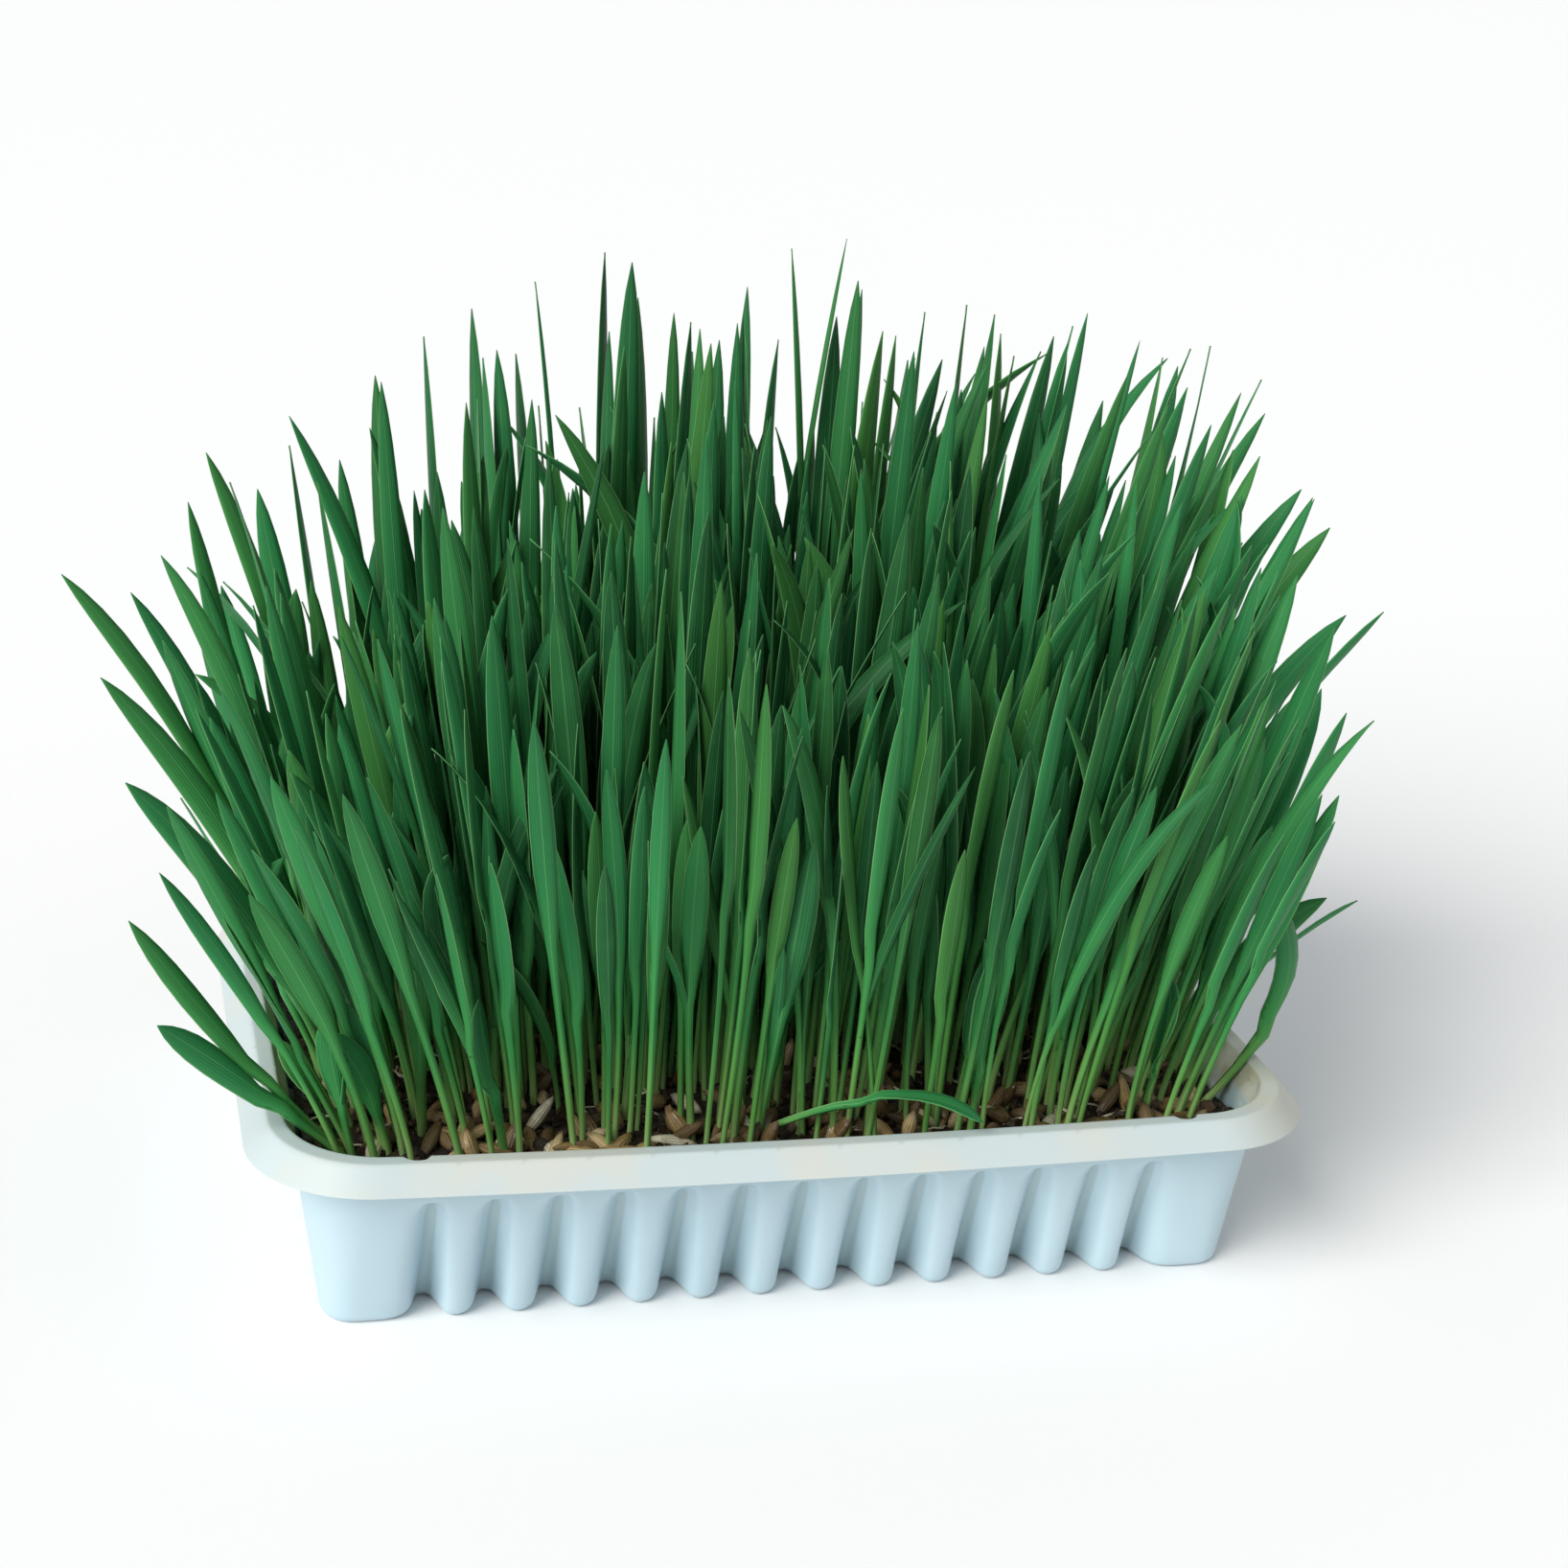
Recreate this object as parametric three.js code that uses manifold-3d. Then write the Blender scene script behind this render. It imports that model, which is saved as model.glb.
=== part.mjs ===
// Tray of wheatgrass: a fluted white tray, its soil with husked grain on it, and clumps of shoots.
// Millimetres, +Z up. The origin is the middle of the tray's base, +X is the long way to the right
// and -Y is the long side towards the viewer.
import * as THREE from 'three';
import { mergeVertices } from 'three/addons/utils/BufferGeometryUtils.js';
import Module from 'manifold-3d';

const wasm = await Module();
wasm.setup();

// Tray: size over the rim, and how far in from the rim's edge each level of the body lies
const LENGTH = 190.7;
const WIDTH = 128;
const HEIGHT = 35;
const WALL = 1;
const RIM_RADIUS = 21.4;
const RIM_DROP = 4.2;
const CREASE_INSET = 4;
const CREASE_RADIUS = 18.4;
const LEDGE_INSET = 7;
const LEDGE_RADIUS = 16.4;
const RIM_BOW = 1.5;
const NECK_HEIGHT = 31;
const NECK_INSET = 8;
const NECK_RADIUS = 12;
const BASE_INSET = 13;
const BASE_RADIUS = 5.2;
const BASE_ROUND = 1.8;
const CORNER_STEPS = 4;
const BOW_STEPS = 6;

// Flutes in the tray's sides, deepest at the base
const FLUTE_TOP = 28;
const FLUTE_DEPTH = 6.5;
const FLUTE_FLOOR = 2.6;
const FLANK_RUN = 0.3;
const LONG_FLUTES = 13;
const LONG_PITCH = 10.8;
const SHORT_FLUTES = 9;
const SHORT_PITCH = 10.2;
// A flute grows this much at each side for each millimetre that the wall is offset inwards
const FLUTE_GROWTH = Math.sqrt(1 + FLANK_RUN ** 2) - FLANK_RUN;

// Small half-round notches in the ledge's inner edge
const NOTCH_X = 68;
const NOTCH_RADIUS = 2;
const NOTCH_STEPS = 4;

// Soil, with grain pressed into it
const GAP = 0.3;
const SOIL_TOP = 27;
const SOIL_RELIEF = 0.7;
const SOIL_WAVE_SUM = 2.2;
const SOIL_COLUMNS = 10;
const SOIL_ROWS = 6;
const GRAIN_LENGTH = 9.5;
const GRAIN_WIDTH = 4;
const GRAIN_SIDES = 5;
const GRAIN_PROFILE = [[0, -1], [0.9, -0.4], [1, 0.2], [0, 1]];
const GRAIN_LIFT = 0.6;
const GRAINS_PER_ROW = 5;
const GRAIN_REACH = 78;
const GRAIN_EDGE = 51.3;
const GRAIN_TURN = 0.5;
const GRAIN_SHIFT = 0.6;
const GRAIN_SEED = 41;

// Clumps of shoots, in rows shifted like bricks
const COLUMNS = 8;
const ROWS = 5;
const COLUMN_PITCH = 20.2;
const ROW_PITCH = 21;
const ROW_SHIFT = 2.5;
const CROWN_RADIUS = 7.6;
const CROWN_TAPER = 0.4;
const CROWN_SIDES = 6;
const CROWN_HEIGHT = 4;
const HOLE_ABOVE = 2;
const CROWN_TOP = SOIL_TOP - 0.9;
const SHOOT_SIDE = 3;
const SHOOTS_MISSING = 0.08;
const ROOT_SPREAD = 2.9;
const ROOT_WANDER = 0.8;
const ROOT_DEPTH = 2.4;
const TIP_SPREAD = [6.5, 6.8];
const SPREAD_POWER = 0.7;
const TIP_WANDER = 2.2;

// Shoots: how tall they stand by place, and how far their tips lean out at the tray's ends
const MEAN_HEIGHT = 101;
const BACK_GAIN = 23;
const LOSS_LEFT = 0.33;
const LOSS_RIGHT = 0.12;
const LEAN_HEIGHT = 110;
const LEAN_POWER = 1.2;
const LEAN_LEFT = 44;
const LEAN_RIGHT = 38;
const LEFT_TAPER = 0.5;
const RIGHT_TAPER = -0.05;
const LEAN_DEPTH = 14;
const SHORTEST = 0.72;
const TALLEST = 1.18;
const LEAF_WIDTH = 5.6;
const NARROWEST = 0.75;
const WIDEST = 1.1;
const LEAF_TURN = 2.4;
const LEAF_TWIST = 1.2;
const STEM_WIDTH = 2;
const STEM_THICK = 1.2;
const LEAF_THICK = 1;
const STEM_STATIONS = 2;
const FIRST_SEED = 101;
const SEED_STEP = 17;

// Stations up a leaf, from its root in the crown to its tip, and its width at each
const LEAF_STATIONS = [-1, 0.3, 0.6, 0.85, 1];
const LEAF_SHARES = [-1, 0.48, 1, 0.82, 0];
const STRAY_STATIONS = [0, 0.3, 0.55, 0.8, 1];

// Leaves that reach out past the rest: the clump's column and row, root, bend and tip
const STRAYS = [
  { clump: [0, 0], points: [[-74.8, -42.8, 24], [-91.5, -45.2, 42], [-109.3, -51, 57.4]], size: 1 },
  { clump: [0, 0], points: [[-74.5, -41.5, 24], [-93.5, -43.8, 43], [-113.5, -47, 74]], size: 0.8 },
  { clump: [7, 1], points: [[75.5, -22.5, 24], [90, -23, 46], [113.5, -24, 61]], size: 1 },
  { clump: [7, 1], points: [[76.4, -18.5, 24], [88, -18, 58], [103.5, -19, 64]], size: 0.7 },
  { clump: [7, 1], points: [[75.5, -24.5, 24], [86, -27, 60], [95, -27, 63]], size: 0.7 },
  { clump: [3, 0], points: [[-13.5, -41, 24], [15, -57, 48.3], [28.2, -62, 38]], size: 0.8 },
  { clump: [0, 2], points: [[-77, 0, 24], [-93, 0, 84], [-123, 0, 118]], size: 0.8 },
  { clump: [7, 2], points: [[72, 0, 24], [92, 0, 76], [123, 0, 111]], size: 1 },
];

const TRAY_COLOUR = 0xd6e4ea;
const SOIL_COLOUR = 0x2a1d13;
const GRASS_COLOUR = 0x2c7a45;

// Half the base's length and width, which the shoots' lean and height are measured against
const HALF_X = LENGTH / 2 - BASE_INSET;
const HALF_Y = WIDTH / 2 - BASE_INSET;

// The same draws every time, from one seed
function randomDraws(seed) {
  let state = seed;
  return () => {
    state = (state * 16807) % 2147483647;
    return state / 2147483647;
  };
}

function ramp(from, to, share) {
  return from + (to - from) * share;
}

// Body of the tray: distance in from the rim's edge and corner radius, by height
function bodyInset(z) {
  return ramp(BASE_INSET, NECK_INSET, z / NECK_HEIGHT);
}

function bodyRadius(z) {
  return ramp(BASE_RADIUS, NECK_RADIUS, z / NECK_HEIGHT);
}

// The four sides of a rounded rectangle in turn, each seen from outside with its points running
// left to right. make(side, straight) gives the points along one side as [along, inwards].
function outline(z, inset, radius, make) {
  const halves = [LENGTH / 2 - inset, WIDTH / 2 - inset];
  const points = [];
  for (let side = 0; side < 4; side += 1) {
    const along = halves[side % 2];
    const across = halves[(side + 1) % 2];
    const straight = along - radius;
    const turn = side * Math.PI / 2;
    const place = (u, v, share) => {
      const x = u * Math.cos(turn) + (across - v) * Math.sin(turn);
      const y = u * Math.sin(turn) - (across - v) * Math.cos(turn);
      points.push({ x, y, z, share: 2 * side + share });
    };
    for (const [u, v] of make(side, straight)) {
      place(u, v, (u / straight + 1) / 2);
    }
    for (let step = 0; step <= CORNER_STEPS; step += 1) {
      const angle = step / CORNER_STEPS * Math.PI / 2;
      const u = straight + radius * Math.sin(angle);
      const v = radius * (1 - Math.cos(angle));
      place(u, v, 1 + step / (CORNER_STEPS + 0.5));
    }
  }
  return points;
}

function fluteDepth(z) {
  return FLUTE_DEPTH * (1 - z / FLUTE_TOP);
}

// Level of the fluted body, offset inwards by some of the wall
function flutedLevel(z, offset) {
  const depth = fluteDepth(z);
  const floor = FLUTE_FLOOR / 2 + FLUTE_GROWTH * offset;
  const mouth = floor + FLANK_RUN * depth;
  return outline(z, bodyInset(z) + offset, bodyRadius(z) - offset, (side) => {
    const count = side % 2 ? SHORT_FLUTES : LONG_FLUTES;
    const pitch = side % 2 ? SHORT_PITCH : LONG_PITCH;
    const points = [];
    for (let i = 0; i < count; i += 1) {
      const middle = (i - (count - 1) / 2) * pitch;
      points.push([middle - mouth, 0], [middle - floor, depth]);
      points.push([middle + floor, depth], [middle + mouth, 0]);
    }
    return points;
  });
}

// Level of the plain rim: long sides bowed out a little, with or without the notches
function plainLevel(z, inset, radius, bow, notched) {
  const notch = [];
  for (let i = 0; i <= NOTCH_STEPS; i += 1) {
    const angle = i / NOTCH_STEPS * Math.PI;
    notch.push([-Math.cos(angle) * NOTCH_RADIUS, -Math.sin(angle) * NOTCH_RADIUS]);
  }
  return outline(z, inset, radius, (side, straight) => {
    const points = [];
    for (let i = 1; bow && side % 2 === 0 && i < BOW_STEPS; i += 1) {
      const u = ramp(-straight, straight, i / BOW_STEPS);
      points.push([u, -bow * (1 - (u / straight) ** 2)]);
    }
    if (notched && side % 2 === 0) {
      for (const middle of [-NOTCH_X, NOTCH_X]) {
        points.push(...notch.map(([u, v]) => [middle + u, v]));
      }
    }
    return points.sort((a, b) => a[0] - b[0]);
  });
}

// Closed skin over a run of levels, with a flat cap at each end
function skin(levels) {
  const positions = levels.flat().flatMap((point) => [point.x, point.y, point.z]);
  const faces = [];
  let start = 0;
  for (let i = 0; i + 1 < levels.length; i += 1) {
    const next = start + levels[i].length;
    band(levels[i], levels[i + 1], start, next, faces);
    start = next;
  }
  const flat = (level) => level.map((point) => new THREE.Vector2(point.x, point.y));
  for (const [a, b, c] of THREE.ShapeUtils.triangulateShape(flat(levels[0]), [])) {
    faces.push(a, c, b);
  }
  for (const [a, b, c] of THREE.ShapeUtils.triangulateShape(flat(levels.at(-1)), [])) {
    faces.push(start + a, start + b, start + c);
  }
  const geometry = new THREE.BufferGeometry();
  geometry.setAttribute('position', new THREE.Float32BufferAttribute(positions, 3));
  geometry.setIndex(faces);
  return geometry;
}

// Triangles between two levels. Levels alike are joined point by point, others by their shares.
function band(lower, upper, lowerStart, upperStart, faces) {
  const alike = lower.length === upper.length;
  const shareAt = (level, i) => level[i % level.length].share + 8 * Math.floor(i / level.length);
  let i = 0;
  let j = 0;
  while (i < lower.length || j < upper.length) {
    const a = lowerStart + i % lower.length;
    const b = upperStart + j % upper.length;
    const lowerNext = i < lower.length ? shareAt(lower, i + 1) : Infinity;
    const upperNext = j < upper.length ? shareAt(upper, j + 1) : Infinity;
    if (alike ? i === j : lowerNext <= upperNext) {
      i += 1;
      faces.push(a, lowerStart + i % lower.length, b);
    } else {
      j += 1;
      faces.push(a, upperStart + j % upper.length, b);
    }
  }
}

function trayGeometry() {
  const skirtBottom = HEIGHT - RIM_DROP;
  const underside = HEIGHT - WALL;
  return geometryOf(solid(skin([
    flutedLevel(0, BASE_ROUND),
    flutedLevel(BASE_ROUND, 0),
    flutedLevel(FLUTE_TOP, 0),
    plainLevel(NECK_HEIGHT, NECK_INSET, NECK_RADIUS, RIM_BOW / 2, false),
    plainLevel(underside, LEDGE_INSET - WALL, LEDGE_RADIUS, RIM_BOW, true),
    plainLevel(underside, CREASE_INSET + WALL / 2, CREASE_RADIUS, RIM_BOW, false),
    plainLevel(skirtBottom, WALL, RIM_RADIUS - WALL / 2, RIM_BOW, false),
    plainLevel(skirtBottom, 0, RIM_RADIUS, RIM_BOW, false),
    plainLevel(HEIGHT, CREASE_INSET, CREASE_RADIUS, RIM_BOW, false),
    plainLevel(HEIGHT, LEDGE_INSET, LEDGE_RADIUS, RIM_BOW, true),
    plainLevel(NECK_HEIGHT, NECK_INSET + WALL, NECK_RADIUS, RIM_BOW / 2, false),
    flutedLevel(FLUTE_TOP, WALL),
    flutedLevel(BASE_ROUND + WALL, WALL),
    flutedLevel(WALL, BASE_ROUND + WALL / 5),
  ])));
}

// A closed geometry as a solid for joining and cutting, and back again
function solid(geometry) {
  const bare = geometry.clone();
  bare.deleteAttribute('normal');
  bare.deleteAttribute('uv');
  const welded = mergeVertices(bare);
  const faces = [];
  for (let i = 0; i < welded.index.count; i += 3) {
    const [a, b, c] = welded.index.array.slice(i, i + 3);
    if (a !== b && b !== c && c !== a) {
      faces.push(a, b, c);
    }
  }
  const mesh = new wasm.Mesh({
    numProp: 3,
    vertProperties: new Float32Array(welded.attributes.position.array),
    triVerts: new Uint32Array(faces),
  });
  return new wasm.Manifold(mesh);
}

function geometryOf(body) {
  const mesh = body.getMesh();
  const geometry = new THREE.BufferGeometry();
  geometry.setAttribute('position', new THREE.Float32BufferAttribute(mesh.vertProperties, 3));
  geometry.setIndex([...mesh.triVerts]);
  geometry.computeVertexNormals();
  return geometry;
}

// Loose uneven surface of the soil, from a few waves across it
function soilHeight(x, y) {
  const waves = Math.sin(0.31 * x + 0.9) * Math.cos(0.27 * y)
    + 0.7 * Math.sin(0.13 * x - 0.35 * y)
    + 0.5 * Math.cos(0.45 * x + 0.21 * y + 2);
  return SOIL_TOP + SOIL_RELIEF * waves / SOIL_WAVE_SUM;
}

// Block with the uneven surface on top and a flat bottom, wider than the tray
function groundGeometry() {
  const block = new THREE.BoxGeometry(LENGTH, WIDTH, SOIL_TOP, SOIL_COLUMNS, SOIL_ROWS, 1);
  block.translate(0, 0, SOIL_TOP / 2);
  const position = block.attributes.position;
  for (let i = 0; i < position.count; i += 1) {
    if (position.getZ(i) > SOIL_TOP / 2) {
      position.setZ(i, soilHeight(position.getX(i), position.getY(i)));
    }
  }
  return block;
}

// A husked grain lying half sunk in the soil
function grainGeometry(x, y, heading) {
  const profile = GRAIN_PROFILE.map(([out, along]) => (
    new THREE.Vector2(out * GRAIN_WIDTH / 2, along * GRAIN_LENGTH / 2)));
  const grain = new THREE.LatheGeometry(profile, GRAIN_SIDES);
  grain.rotateZ(heading);
  grain.translate(x, y, soilHeight(x, y) + GRAIN_LIFT);
  return grain;
}

function clumpPlace(column, row) {
  const shift = row % 2 ? ROW_SHIFT : -ROW_SHIFT;
  return {
    x: (column - (COLUMNS - 1) / 2) * COLUMN_PITCH + shift,
    y: (row - (ROWS - 1) / 2) * ROW_PITCH,
  };
}

function crownGeometry(place, growth, bottom, top) {
  const crown = new THREE.CylinderGeometry(
    CROWN_RADIUS + growth, CROWN_RADIUS - CROWN_TAPER + growth, top - bottom, CROWN_SIDES);
  crown.rotateX(Math.PI / 2);
  crown.rotateZ(Math.PI / 2);
  crown.translate(place.x, place.y, (bottom + top) / 2);
  return crown;
}

// The soil stands clear of the flutes' inner faces and closes up to the wall at its surface
function soilGeometry() {
  const low = WALL + GAP;
  const lowInset = bodyInset(low) + BASE_ROUND + WALL / 5 + GAP + FLUTE_DEPTH;
  const topInset = bodyInset(FLUTE_TOP) + WALL + GAP + fluteDepth(SOIL_TOP);
  let soil = solid(skin([
    plainLevel(low, lowInset, BASE_RADIUS, 0, false),
    plainLevel(FLUTE_TOP, topInset, bodyRadius(FLUTE_TOP), 0, false),
  ])).intersect(solid(groundGeometry()));
  const bottom = CROWN_TOP - CROWN_HEIGHT - GAP;
  for (let row = 0; row < ROWS; row += 1) {
    for (let column = 0; column < COLUMNS; column += 1) {
      const hole = crownGeometry(clumpPlace(column, row), GAP, bottom, SOIL_TOP + HOLE_ABOVE);
      soil = soil.subtract(solid(hole));
    }
  }
  const draw = randomDraws(GRAIN_SEED);
  for (let row = 0; row <= ROWS; row += 1) {
    for (let i = 0; i < GRAINS_PER_ROW; i += 1) {
      const share = (i + 0.5 + GRAIN_SHIFT * (draw() - 0.5)) / GRAINS_PER_ROW;
      const x = ramp(-GRAIN_REACH, GRAIN_REACH, share);
      const y = THREE.MathUtils.clamp((row - ROWS / 2) * ROW_PITCH, -GRAIN_EDGE, GRAIN_EDGE);
      const heading = Math.PI / 2 + (draw() - 0.5) * GRAIN_TURN;
      soil = soil.add(solid(grainGeometry(x, y, heading)));
    }
  }
  return geometryOf(soil);
}

// How far something at height z leans out from where it is rooted
function leanOut(x, y, z) {
  const rise = Math.max(0, (z - SOIL_TOP) / LEAN_HEIGHT) ** LEAN_POWER;
  const side = x / HALF_X;
  const depth = y / HALF_Y;
  const reach = side < 0
    ? -LEAN_LEFT * (1 - LEFT_TAPER * depth)
    : LEAN_RIGHT * (1 - RIGHT_TAPER * depth);
  return new THREE.Vector3(
    x + reach * side ** 2 * rise,
    y + LEAN_DEPTH * depth * Math.abs(depth) * rise,
    z);
}

function heightAt(x, y) {
  const loss = x < 0 ? LOSS_LEFT : LOSS_RIGHT;
  return (MEAN_HEIGHT + BACK_GAIN * y / HALF_Y) * (1 - loss * (x / HALF_X) ** 2);
}

// A grass leaf along a line of points: flat above, keeled below, narrow at the root and pointed
function leafGeometry(line, widths, facing, twist) {
  const positions = [];
  const last = line.length - 1;
  for (let i = 0; i < last; i += 1) {
    const ahead = line[i + 1].clone().sub(line[Math.max(i - 1, 0)]).normalize();
    const angle = facing + twist * i / last;
    const across = new THREE.Vector3(Math.cos(angle), Math.sin(angle), 0);
    across.addScaledVector(ahead, -across.dot(ahead)).normalize();
    const under = across.clone().cross(ahead).normalize();
    const thick = (i < STEM_STATIONS ? STEM_THICK : LEAF_THICK);
    const edge = across.multiplyScalar(widths[i] / 2);
    for (const corner of [edge.clone().negate(), edge, under.multiplyScalar(thick)]) {
      positions.push(...line[i].clone().add(corner).toArray());
    }
  }
  positions.push(...line[last].toArray());
  const faces = [0, 1, 2];
  for (let i = 0; i + 1 < last; i += 1) {
    const [left, right, keel] = [3 * i, 3 * i + 1, 3 * i + 2];
    const [leftUp, rightUp, keelUp] = [left + 3, right + 3, keel + 3];
    faces.push(left, rightUp, right, left, leftUp, rightUp);
    faces.push(left, keelUp, leftUp, left, keel, keelUp);
    faces.push(keel, rightUp, keelUp, keel, right, rightUp);
  }
  const tip = 3 * last;
  faces.push(tip - 3, tip, tip - 2, tip - 2, tip, tip - 1, tip - 1, tip, tip - 3);
  const geometry = new THREE.BufferGeometry();
  geometry.setAttribute('position', new THREE.Float32BufferAttribute(positions, 3));
  geometry.setIndex(faces);
  return geometry;
}

// One shoot of a clump: rooted in the crown, and spreading to its own share of the clump's cell
function shootGeometry(place, index, draw) {
  const slot = [index % SHOOT_SIDE - 1, Math.floor(index / SHOOT_SIDE) - 1];
  const wander = [draw() - 0.5, draw() - 0.5];
  const root = slot.map((s, axis) => s * ROOT_SPREAD + wander[axis] * ROOT_WANDER);
  const tip = slot.map((s, axis) => s * TIP_SPREAD[axis] + wander[axis] * TIP_WANDER);
  const height = heightAt(place.x + tip[0], place.y + tip[1]) * ramp(SHORTEST, TALLEST, draw());
  const width = LEAF_WIDTH * ramp(NARROWEST, WIDEST, draw());
  const line = LEAF_STATIONS.map((t) => {
    const out = Math.max(t, 0) ** SPREAD_POWER;
    const x = place.x + ramp(root[0], tip[0], out);
    const y = place.y + ramp(root[1], tip[1], out);
    return leanOut(x, y, CROWN_TOP + (t < 0 ? -ROOT_DEPTH : t * height));
  });
  const widths = LEAF_SHARES.map((w) => (w < 0 ? STEM_WIDTH : w * width));
  return leafGeometry(line, widths, (draw() - 0.5) * LEAF_TURN, (draw() - 0.5) * LEAF_TWIST);
}

// A leaf bent out over the rim, from inside the crown to its tip
function strayGeometry(stray) {
  const [root, middle, tip] = stray.points.map((point) => new THREE.Vector3(...point));
  const bend = new THREE.QuadraticBezierCurve3(root, middle, tip);
  const line = STRAY_STATIONS.map((t) => bend.getPoint(t));
  const widths = LEAF_SHARES.map((w) => (w < 0 ? STEM_WIDTH : w * LEAF_WIDTH * stray.size));
  return leafGeometry(line, widths, Math.PI / 2, 0);
}

function clumpGeometry(column, row) {
  const place = clumpPlace(column, row);
  const draw = randomDraws(FIRST_SEED + SEED_STEP * (row * COLUMNS + column));
  draw();
  let clump = solid(crownGeometry(place, 0, CROWN_TOP - CROWN_HEIGHT, CROWN_TOP));
  for (let index = 0; index < SHOOT_SIDE ** 2; index += 1) {
    if (draw() > SHOOTS_MISSING) {
      clump = clump.add(solid(shootGeometry(place, index, draw)));
    }
  }
  for (const stray of STRAYS) {
    if (stray.clump[0] === column && stray.clump[1] === row) {
      clump = clump.add(solid(strayGeometry(stray)));
    }
  }
  return geometryOf(clump);
}

function piece(name, geometry, color, roughness) {
  const material = new THREE.MeshStandardMaterial({ color, roughness, metalness: 0 });
  const mesh = new THREE.Mesh(geometry, material);
  mesh.name = name;
  return mesh;
}

const object = new THREE.Group();
object.add(piece('tray', trayGeometry(), TRAY_COLOUR, 0.35));
object.add(piece('soil', soilGeometry(), SOIL_COLOUR, 0.95));
for (let row = 0; row < ROWS; row += 1) {
  for (let column = 0; column < COLUMNS; column += 1) {
    const number = String(row * COLUMNS + column + 1).padStart(2, '0');
    object.add(piece(`grass_clump_${number}`, clumpGeometry(column, row), GRASS_COLOUR, 0.45));
  }
}

export default object;
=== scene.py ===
import math

import bmesh
import bpy
import numpy as np
from mathutils import Matrix, Vector, noise


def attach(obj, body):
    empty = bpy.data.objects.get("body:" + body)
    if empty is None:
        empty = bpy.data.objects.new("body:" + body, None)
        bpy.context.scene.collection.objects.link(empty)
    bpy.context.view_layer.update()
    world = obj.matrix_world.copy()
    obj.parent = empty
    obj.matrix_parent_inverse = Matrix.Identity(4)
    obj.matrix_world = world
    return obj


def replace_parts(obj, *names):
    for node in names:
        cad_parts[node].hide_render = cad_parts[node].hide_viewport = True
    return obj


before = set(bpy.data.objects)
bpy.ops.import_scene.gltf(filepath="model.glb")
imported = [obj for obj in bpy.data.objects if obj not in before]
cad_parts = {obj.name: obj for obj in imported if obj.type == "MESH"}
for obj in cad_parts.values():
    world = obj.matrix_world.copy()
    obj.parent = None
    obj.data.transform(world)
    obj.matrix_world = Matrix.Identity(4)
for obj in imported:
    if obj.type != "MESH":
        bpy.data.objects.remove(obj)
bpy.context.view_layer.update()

# Sizes in this script are in millimetres, and go into the meshes in metres
MM = 0.001

# Tray, as the frame has it
LENGTH = 190.7
WIDTH = 128.0
HEIGHT = 35.0
WALL = 1.0
RIM_RADIUS = 21.4
RIM_DROP = 4.2
CREASE_INSET = 4.0
CREASE_RADIUS = RIM_RADIUS - 3.0
LEDGE_INSET = 7.0
LEDGE_RADIUS = RIM_RADIUS - 5.0
RIM_BOW = 1.5
NECK_HEIGHT = 31.0
NECK_INSET = 8.0
NECK_RADIUS = 12.0
BASE_INSET = 13.0
BASE_RADIUS = 5.2
BASE_ROUND = 1.8
FLUTE_TOP = 28.0
FLUTE_DEPTH = 6.5
FLUTE_FLOOR = 2.6
FLANK_RUN = 0.3
FLUTE_COUNTS = (13, 9)
FLUTE_PITCHES = (10.8, 10.2)
FLUTE_GROWTH = math.hypot(1, FLANK_RUN) - FLANK_RUN
NOTCH_X = 68.0
NOTCH_RADIUS = 2.0
HALF_X = LENGTH / 2 - BASE_INSET
HALF_Y = WIDTH / 2 - BASE_INSET

# Tray's finer form: points along each side, and flutes with sloping floors and round tops
CORNER_STEPS = 14
FLUTE_STEPS = 15
RIB_STEPS = 4
END_STEPS = 5
END_GAP = 0.3
BASE_STEPS = 6
BODY_STEPS = 8
ARCH_START = 20.8
ARCH_TOP = 24.8
ARCH_SHARES = (0.2, 0.4, 0.56, 0.7, 0.82, 0.9, 0.96, 1.0, 1.1)
ARCH_DEPTH = 1.4
ARCH_CRISPNESS = 1.7
PLAIN_MOUTH = 3.0
FLOOR_AT_TOP = 0.7
LEAST_FLANK = 0.2
LEAST_DEPTH = 0.05
EASING_PASSES = 4
SHARP_ANGLE = math.radians(42)

# Soil: as the frame has it, with lumps, and with sides that draw in as (height, inset)
SOIL_TOP = 27.0
SOIL_RELIEF = 0.7
WAVES_SUM = 2.2
LUMP_HEIGHT = 0.7
LUMP_SCALE = 0.16
LUMP_PLANE = 3.0
LUMP_DIMENSION = 0.7
LUMP_LACUNARITY = 2.1
LUMP_OCTAVES = 5
SOIL_STEP = 0.9
SOIL_GAP = 0.9
SOIL_SIDES = ((24.0, 2.4), (2.0, 13.4))
SOIL_TONE = (0.1, 0.0)

# Crumbs: how many, smallest and largest size, how finely each is divided, and the seed
FINE_CRUMBS = (4200, (0.7, 2.0), 1, 3)
COARSE_CRUMBS = (700, (1.6, 3.8), 2, 5)
CRUMB_MARGIN = 1.0
CRUMB_STRETCH = (0.6, 1.2)
CRUMB_JAG = 0.28
CRUMB_TURN = 6.28
CRUMB_LIFT = (0.05, 0.4)

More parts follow.
